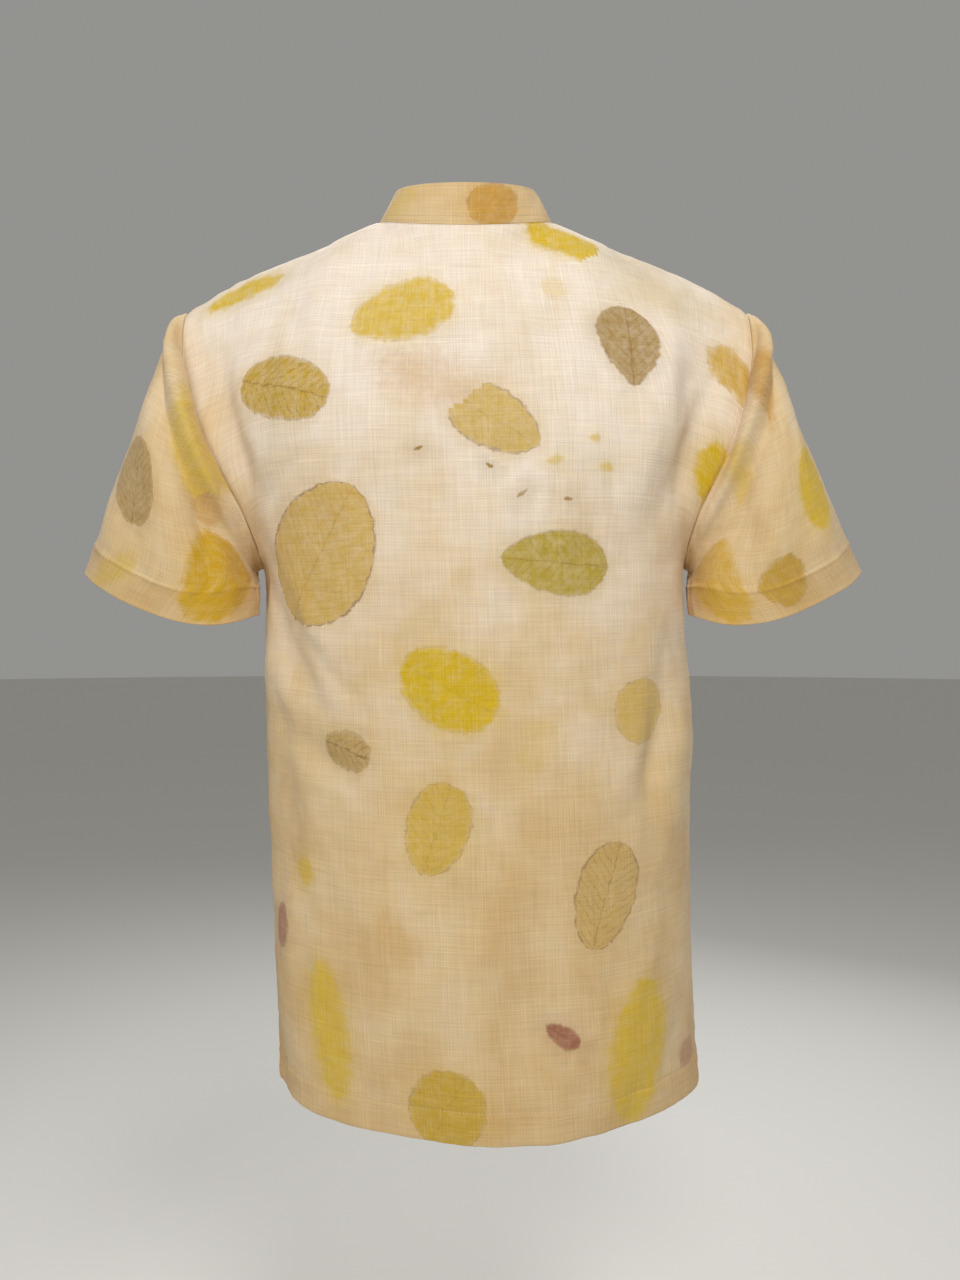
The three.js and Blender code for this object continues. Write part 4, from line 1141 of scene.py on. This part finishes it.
    # ground, dye, brown lines and threads together
    with_dye = add(tree, "ShaderNodeMixRGB", {0: dyed, 1: ground, 2: dye}, blend_type="MIX")
    with_lines = add(tree, "ShaderNodeMixRGB", {0: lines_part, 1: with_dye, 2: (*settings.brown, 1)},
                     blend_type="MIX")
    shade = add(tree, "ShaderNodeMapRange", {0: threads, 1: 0.7, 2: 1.3, 3: 0.88, 4: 1.12})
    coloured = add(tree, "ShaderNodeVectorMath", {0: with_lines, "Scale": shade}, operation="SCALE")
    bump = add(tree, "ShaderNodeBump", {"Strength": 0.3, "Distance": 0.0004, "Height": threads})
    surface = add(tree, "ShaderNodeBsdfPrincipled", {
        "Base Color": coloured, "Roughness": 0.88, "Specular IOR Level": 0.25, "Sheen Weight": 0.18,
        "Sheen Roughness": 0.55, "Normal": bump})
    add(tree, "ShaderNodeOutputMaterial", {0: surface})
    return material


def cotton_thread(name):
    """Mercerised cotton sewing thread: fine, twisted, with a slight sheen."""
    material, tree = empty_material(name)
    coordinates = add(tree, "ShaderNodeTexCoord").outputs["Object"]
    uneven = add(tree, "ShaderNodeTexNoise", {"Vector": coordinates, "Scale": 220.0})
    colour = bpy.context.scene.kurta_sewing.colour
    pale = tuple(min(part * 1.25, 1) for part in colour)
    mixed = add(tree, "ShaderNodeMixRGB", {0: uneven, 1: (*colour, 1), 2: (*pale, 1)}, blend_type="MIX")
    surface = add(tree, "ShaderNodeBsdfPrincipled", {
        "Base Color": mixed, "Roughness": 0.6, "Sheen Weight": 0.3})
    add(tree, "ShaderNodeOutputMaterial", {0: surface})
    return material


def coconut_shell(name):
    """Turned and waxed coconut shell: brown, with short darker fibres, and a soft shine."""
    material, tree = empty_material(name)
    coordinates = add(tree, "ShaderNodeTexCoord").outputs["Object"]
    stretched = add(tree, "ShaderNodeMapping", {"Vector": coordinates, "Scale": (1600, 1600, 420)})
    fibres = add(tree, "ShaderNodeTexNoise", {"Vector": stretched, "Scale": 1.0, "Detail": 4.0})
    ramp = add(tree, "ShaderNodeValToRGB", {0: fibres})
    for stop, colour, position in zip(ramp.color_ramp.elements, ("#3E2918", "#8A6238"), (0.32, 0.66)):
        stop.color = (*linear(colour), 1)
        stop.position = position
    bump = add(tree, "ShaderNodeBump", {"Strength": 0.25, "Distance": 0.0002, "Height": fibres})
    surface = add(tree, "ShaderNodeBsdfPrincipled", {"Base Color": ramp, "Roughness": 0.42, "Normal": bump})
    add(tree, "ShaderNodeOutputMaterial", {0: surface})
    return material


def once(name, make):
    """A material that several pieces share."""
    return bpy.data.materials.get(name) or make(name)


# ---------------------------------------------------------------- pieces

# how much dye the ground holds, from 0 for cream through 0.5 for beige to 1 for ochre; beside the panels'
# side seams it also holds painted shade
PALE_DYE = 0.06
HEM_DYE = 0.54
DYE_RANGE = (80, 620)       # how far below the neck the dye starts and is full
SLEEVE_DYE = 0.5
COLLAR_DYE = 0.62
TURNED_HEM_DYE = 0.08
SLEEVE_HEM_DYE = 0.2
# painted shade: how much the ground darkens towards the side seams, where the panels turn away from the
# light, and over what reach
SIDE_PAINTED_SHADE = 0.22
SIDE_PAINTED_SHADE_REACH = 60


def hem_thickness(up, depth):
    settings = bpy.context.scene.kurta_cloth
    more = (settings.hem_thickness - settings.thickness) * turned_up(up, depth)
    return (settings.thickness + more) / MM


def ground_dye(cloth):
    """How much dye each place holds. It sank while the cloth hung, so the shoulders are pale."""
    return PALE_DYE + HEM_DYE * smoothstep(-cloth.place[..., 2], *DYE_RANGE)


MAKERS = {
    "back_panel": back_cloth,
    "front_panel": front_cloth,
    "placket": placket_cloth,
    "collar_band": collar_cloth,
    "sleeve_left": lambda: sleeve_cloth(1),
    "sleeve_right": lambda: sleeve_cloth(-1),
}
CLOTHS = {}


def cloth_of(name):
    """A piece's surface, worked out once."""
    if name not in CLOTHS:
        CLOTHS[name] = MAKERS[name]()
    return CLOTHS[name]


class KURTA_OT_panels(bpy.types.Operator):
    """Makes the back and the front, with their hems, side slits and seams"""
    bl_idname = "kurta.panels"
    bl_label = "Panels"

    def execute(self, context):
        linen = once("plain_weave_linen", printed_linen)
        for name, leaves, right in (("back_panel", BACK_LEAVES, BEHIND),
                                    ("front_panel", FRONT_LEAVES, BEFORE)):
            cloth = cloth_of(name)
            rows, columns = cloth.p.shape
            found = find_leaves(cloth, leaves, True, right)
            keep = np.ones((rows - 1, columns - 1), bool)
            if name == "front_panel":
                keep[PANEL_ROWS.index(RIBS_LEVEL):, columns // 2 - 1] = False
            made = shell(name, cloth, hem_thickness(cloth.q, BODY_HEM), keep)
            hem_band = TURNED_HEM_DYE * turned_up(cloth.q, BODY_HEM)
            # painted shade: the ground darkens towards the side seams, where the panel turns away from the
            # light
            beside = SIDE_PAINTED_SHADE * (1 - smoothstep(cloth.beside_edge(), 0, SIDE_PAINTED_SHADE_REACH))
            print_on(made, cloth, found, ground_dye(cloth) + hem_band + beside)
            sewn_piece(made, name, linen)
        return {"FINISHED"}


class KURTA_OT_sleeves(bpy.types.Operator):
    """Makes both sleeves, with their turned-up hems"""
    bl_idname = "kurta.sleeves"
    bl_label = "Sleeves"

    def execute(self, context):
        linen = once("plain_weave_linen", printed_linen)
        for name, leaves in (("sleeve_left", LEFT_SLEEVE_LEAVES), ("sleeve_right", RIGHT_SLEEVE_LEAVES)):
            cloth = cloth_of(name)
            found = find_leaves(cloth, leaves["back"], cloth.behind > 0, BEHIND)
            found += find_leaves(cloth, leaves["front"], cloth.behind < 0, BEFORE)
            made = shell(name, cloth, hem_thickness(cloth.q, SLEEVE_HEM))
            print_on(made, cloth, found, SLEEVE_DYE + SLEEVE_HEM_DYE * turned_up(cloth.q, SLEEVE_HEM))
            sewn_piece(made, name, linen)
        return {"FINISHED"}


class KURTA_OT_collar(bpy.types.Operator):
    """Makes the band collar"""
    bl_idname = "kurta.collar"
    bl_label = "Collar"

    def execute(self, context):
        cloth = cloth_of("collar_band")
        behind = cloth.place[..., 1] > 0
        found = find_leaves(cloth, COLLAR_LEAVES, behind, BEHIND)
        found += find_leaves(cloth, FRONT_COLLAR_LEAVES, ~behind, BEFORE)
        made = shell("collar_band", cloth, COLLAR_THICKNESS)
        print_on(made, cloth, found, COLLAR_DYE)
        linen = once("plain_weave_collar_linen", printed_linen)
        sewn_piece(made, "collar_band", linen)
        return {"FINISHED"}


def moved_out(cloth, out):
    """A copy of a surface, moved out."""
    copy = Cloth(cloth.place + cloth.normal * out, cloth.outward)
    copy.p, copy.q, copy.level = cloth.p, cloth.q, cloth.level
    return copy


class KURTA_OT_placket(bpy.types.Operator):
    """Makes the upper and the under placket at the front opening"""
    bl_idname = "kurta.placket"
    bl_label = "Placket"

    def execute(self, context):
        linen = once("plain_weave_linen", printed_linen)
        found = find_leaves(cloth_of("front_panel"), FRONT_LEAVES, True, BEFORE)
        for name, (out, thickness) in PLACKET_LAYERS.items():
            surface = moved_out(cloth_of("placket"), out)
            if name == "placket_top":
                from_edge = PLACKET_WIDTH / 2 - np.abs(surface.p)
                surface.move_out(-0.5 * np.exp(-(from_edge**2)))
                surface.move_out(-0.35 * np.exp(-(((from_edge - PLACKET_STITCH_INSET) / 1.1) ** 2)))
                surface.set_normals()
            made = shell(name, surface, thickness)
            print_on(made, surface, found, ground_dye(surface))
            sewn_piece(made, name, linen)
        return {"FINISHED"}


def merged_copy(node, name):
    """A copy of a solid's mesh with its loose triangles joined and its edges rounded."""
    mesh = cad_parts[node].data.copy()
    mesh.materials.clear()
    made = bpy.data.objects.new(name, mesh)
    bpy.context.scene.collection.objects.link(made)
    weld = made.modifiers.new("weld", "WELD")
    weld.merge_threshold = 1e-5
    bevel = made.modifiers.new("bevel", "BEVEL")
    bevel.width = BUTTON_EDGE * MM
    bevel.segments = 2
    bevel.limit_method = "ANGLE"
    bevel.angle_limit = math.radians(40)
    return made


def applied(made, name):
    """Turns a piece's modifiers into plain mesh."""
    bpy.context.view_layer.update()
    plain = bpy.data.meshes.new_from_object(made.evaluated_get(bpy.context.evaluated_depsgraph_get()))
    made.modifiers.clear()
    made.data = plain
    plain.name = name
    return made


class KURTA_OT_buttons(bpy.types.Operator):
    """Makes the buttons"""
    bl_idname = "kurta.buttons"
    bl_label = "Buttons"

    def execute(self, context):
        waxed_shell = once("coconut_shell", coconut_shell)
        for number in range(1, BUTTONS + 1):
            node = f"button_{number}"
            made = applied(merged_copy(node, f"{node}_disc"), f"{node}_disc")
            made.data.materials.append(waxed_shell)
            for polygon in made.data.polygons:
                polygon.use_smooth = False
            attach(made, "root")
            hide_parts(node)
        return {"FINISHED"}


# ---------------------------------------------------------------- sewing


def stitch_tree(material):
    """A tree that sets stitches end to end along the edges of a mesh."""
    tree = bpy.data.node_groups.new("running stitches", "GeometryNodeTree")
    for name, kind in (("Line", "NodeSocketGeometry"), ("Pitch", "NodeSocketFloat"),
                       ("Stitch", "NodeSocketFloat"), ("Thread", "NodeSocketFloat")):
        tree.interface.new_socket(name, in_out="INPUT", socket_type=kind)
    tree.interface.new_socket("Stitches", in_out="OUTPUT", socket_type="NodeSocketGeometry")
    given = add(tree, "NodeGroupInput")
    line = add(tree, "GeometryNodeMeshToCurve", {0: given.outputs["Line"]})
    points = add(tree, "GeometryNodeCurveToPoints", {"Curve": line, "Length": given.outputs["Pitch"]},
                 mode="LENGTH")
    bead = add(tree, "GeometryNodeMeshIcoSphere", {"Radius": 0.5, "Subdivisions": 1})
    size = add(tree, "ShaderNodeCombineXYZ", {
        0: given.outputs["Thread"], 1: given.outputs["Thread"], 2: given.outputs["Stitch"]})
    stitches = add(tree, "GeometryNodeInstanceOnPoints", {
        "Points": points.outputs["Points"], "Instance": bead, "Rotation": points.outputs["Rotation"],
        "Scale": size})
    real = add(tree, "GeometryNodeRealizeInstances", {0: stitches})
    finished = add(tree, "GeometryNodeSetMaterial", {"Geometry": real, "Material": material})
    add(tree, "NodeGroupOutput", {0: finished})
    return tree


THREAD_OUT = 0.1            # how far a stitch's middle stands out from the cloth
ONE_STITCH = 2


def row_line(cloth, value, target, out=THREAD_OUT):
    """The line on a surface where a value that grows up each column reaches its target."""
    raised = cloth.place + cloth.normal * out
    return [[np.interp(target, value[:, column], raised[:, column, axis]) for axis in range(3)]
            for column in range(cloth.p.shape[1])]


def column_line(cloth, away, rows, left):
    """The line on a surface at a distance from one end of its rows."""
    raised = cloth.place + cloth.normal * THREAD_OUT
    line = []
    for row in rows:
        target = cloth.width[row, 0] / 2 - away
        line.append([np.interp(-target if left else target, cloth.p[row], raised[row, :, axis])
                     for axis in range(3)])
    return line


def sewing_lines():
    """The lines of stitches on the hems, the side slits, the collar and the placket."""
    lines = []
    slit_rows = [row for row, level in enumerate(PANEL_ROWS) if 0.05 < level < SLIT_LEVEL]
    for name in ("back_panel", "front_panel"):
        cloth = cloth_of(name)
        lines.append(row_line(cloth, cloth.q, BODY_HEM))
        for left in (True, False):
            lines.append(column_line(cloth, SLIT_HEM, slit_rows, left))
    for name in ("sleeve_left", "sleeve_right"):
        cloth = cloth_of(name)
        lines.append(row_line(cloth, cloth.q, SLEEVE_HEM))
    collar = cloth_of("collar_band")
    for share in COLLAR_STITCH_HEIGHTS:
        lines.append(row_line(collar, collar.q / collar.height, share, 0.15))
    strip = moved_out(cloth_of("placket"), PLACKET_LAYERS["placket_top"][0])
    for side in (-1, 1):
        column = int(np.argmin(np.abs(strip.p[0] - side * (PLACKET_WIDTH / 2 - PLACKET_STITCH_INSET))))
        lines.append(list(strip.place[:, column] + strip.normal[:, column] * THREAD_OUT))
    return lines


def button_lines():
    """Two stitches over each button, from hole to hole. Each line is shorter than the pitch, so it gets one
    stitch, at its start."""
    lines = []
    for number in range(1, BUTTONS + 1):
        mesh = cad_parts[f"button_{number}"].data
        corners = np.array([vertex.co[:] for vertex in mesh.vertices]) / MM
        middle = corners.mean(axis=0)
        _, _, axes = np.linalg.svd(corners - middle, full_matrices=False)
        out = axes[2] * -np.sign(axes[2][1])
        across = np.cross(out, (0, 0, 1))
        across /= np.linalg.norm(across)
        up = np.cross(across, out)
        for side in (-1, 1):
            start = middle + across * side * HOLES_APART / 2 + out * BUTTON_THREAD_OUT
            lines.append([start, start + up * ONE_STITCH])
    return lines


class KURTA_OT_sewing(bpy.types.Operator):
    """Sews the hems, the slits, the collar, the placket and the buttons"""
    bl_idname = "kurta.sewing"
    bl_label = "Sewing"

    def execute(self, context):
        settings = context.scene.kurta_sewing
        thread = once("cotton_thread", cotton_thread)
        points, edges = [], []
        for line in sewing_lines() + button_lines():
            first = len(points)
            points.extend((np.array(place) * MM).tolist() for place in line)
            edges.extend((first + i, first + i + 1) for i in range(len(line) - 1))
        mesh = bpy.data.meshes.new("stitches")
        mesh.from_pydata(points, edges, [])
        made = bpy.data.objects.new("stitches", mesh)
        context.scene.collection.objects.link(made)
        tree = stitch_tree(thread)
        nodes = made.modifiers.new("stitches", "NODES")
        nodes.node_group = tree
        values = {"Pitch": settings.pitch, "Stitch": settings.stitch, "Thread": settings.thread}
        for socket in tree.interface.items_tree:
            if socket.in_out == "INPUT" and socket.name in values:
                nodes[socket.identifier] = values[socket.name]
        applied(made, "stitches")
        if not made.data.polygons:
            raise RuntimeError("the sewing has no stitches")
        made.data.shade_smooth()
        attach(made, "root")
        return {"FINISHED"}


# ---------------------------------------------------------------- stage

CAMERA_PLACE = Vector((-0.0126, 0.895, -0.3696))
CAMERA_LENS = 28.125
CAMERA_SENSOR = 36
GARMENT_MIDDLE = Vector((0, 0, -0.38))
FLOOR_RADIUS = 30
SURROUNDINGS = "#E9E8E4"
SURROUNDINGS_STRENGTH = 0.36
# each light's place, size in metres and share of the key light's power
LIGHTS = {
    "key": ((-0.3, 1.6, 1.3), 0.5, 1),
    "fill": ((1.1, 2.2, -0.3), 1.2, 0.42),
    "front key": ((0.3, -1.65, 1.3), 0.5, 1),
    "front fill": ((-1.2, -2.2, 0.2), 1.2, 0.35),
}


def area_light(name, place, size, power):
    light = bpy.data.lights.new(name, "AREA")
    light.shape = "DISK"
    light.size = size
    light.energy = power
    made = bpy.data.objects.new(name, light)
    made.location = place
    made.rotation_euler = (GARMENT_MIDDLE - Vector(place)).to_track_quat("-Z", "Y").to_euler()
    made.visible_camera = False
    bpy.context.scene.collection.objects.link(made)


class KURTA_OT_stage(bpy.types.Operator):
    """Sets the camera, the floor, the light and the plain pale surroundings"""
    bl_idname = "kurta.stage"
    bl_label = "Stage"

    def execute(self, context):
        settings = context.scene.kurta_stage
        camera = bpy.data.cameras.new("camera")
        camera.lens = CAMERA_LENS
        camera.sensor_width = CAMERA_SENSOR
        camera.clip_start = 0.01
        seat = bpy.data.objects.new("camera", camera)
        seat.location = CAMERA_PLACE
        seat.rotation_euler = (math.radians(90), 0, math.radians(180))
        context.scene.collection.objects.link(seat)
        context.scene.camera = seat

        bpy.ops.mesh.primitive_circle_add(vertices=96, radius=FLOOR_RADIUS, fill_type="NGON",
                                          location=(0, 0, -settings.floor_drop))
        floor = context.object
        floor.name = "floor"
        material, tree = empty_material("studio_floor")
        surface = add(tree, "ShaderNodeBsdfPrincipled", {
            "Base Color": (*settings.floor_colour, 1), "Roughness": 0.8, "Specular IOR Level": 0.2})
        add(tree, "ShaderNodeOutputMaterial", {0: surface})
        floor.data.materials.append(material)

        world = bpy.data.worlds.new("studio")
        world.use_nodes = True
        inputs = world.node_tree.nodes["Background"].inputs
        inputs["Color"].default_value = (*linear(SURROUNDINGS), 1)
        inputs["Strength"].default_value = SURROUNDINGS_STRENGTH
        context.scene.world = world
        for name, (place, size, share) in LIGHTS.items():
            area_light(name, place, size, settings.key_power * share)
        context.scene.view_settings.view_transform = "Standard"
        return {"FINISHED"}


# ---------------------------------------------------------------- the add-on

STEPS = (KURTA_OT_stage, KURTA_OT_panels, KURTA_OT_sleeves, KURTA_OT_collar, KURTA_OT_placket,
         KURTA_OT_buttons, KURTA_OT_sewing)


class KURTA_PT_panel(bpy.types.Panel):
    """Lists the kurta's settings and its operators"""
    bl_idname = "KURTA_PT_panel"
    bl_label = "Kurta"
    bl_space_type = "VIEW_3D"
    bl_region_type = "UI"
    bl_category = "Kurta"

    def draw(self, context):
        for group in (context.scene.kurta_cloth, context.scene.kurta_sewing, context.scene.kurta_stage):
            for name in group.bl_rna.properties.keys():
                if name not in ("rna_type", "name"):
                    self.layout.prop(group, name)
        for step in STEPS:
            self.layout.operator(step.bl_idname)


CLASSES = (ClothSettings, SewingSettings, StageSettings, *STEPS, KURTA_PT_panel)


def register():
    for each in CLASSES:
        bpy.utils.register_class(each)
    bpy.types.Scene.kurta_cloth = PointerProperty(type=ClothSettings)
    bpy.types.Scene.kurta_sewing = PointerProperty(type=SewingSettings)
    bpy.types.Scene.kurta_stage = PointerProperty(type=StageSettings)


def unregister():
    del bpy.types.Scene.kurta_stage
    del bpy.types.Scene.kurta_sewing
    del bpy.types.Scene.kurta_cloth
    for each in reversed(CLASSES):
        bpy.utils.unregister_class(each)


def main():
    register()
    for step in STEPS:
        group, name = step.bl_idname.split(".")
        getattr(getattr(bpy.ops, group), name)()


if __name__ == "__main__":
    main()
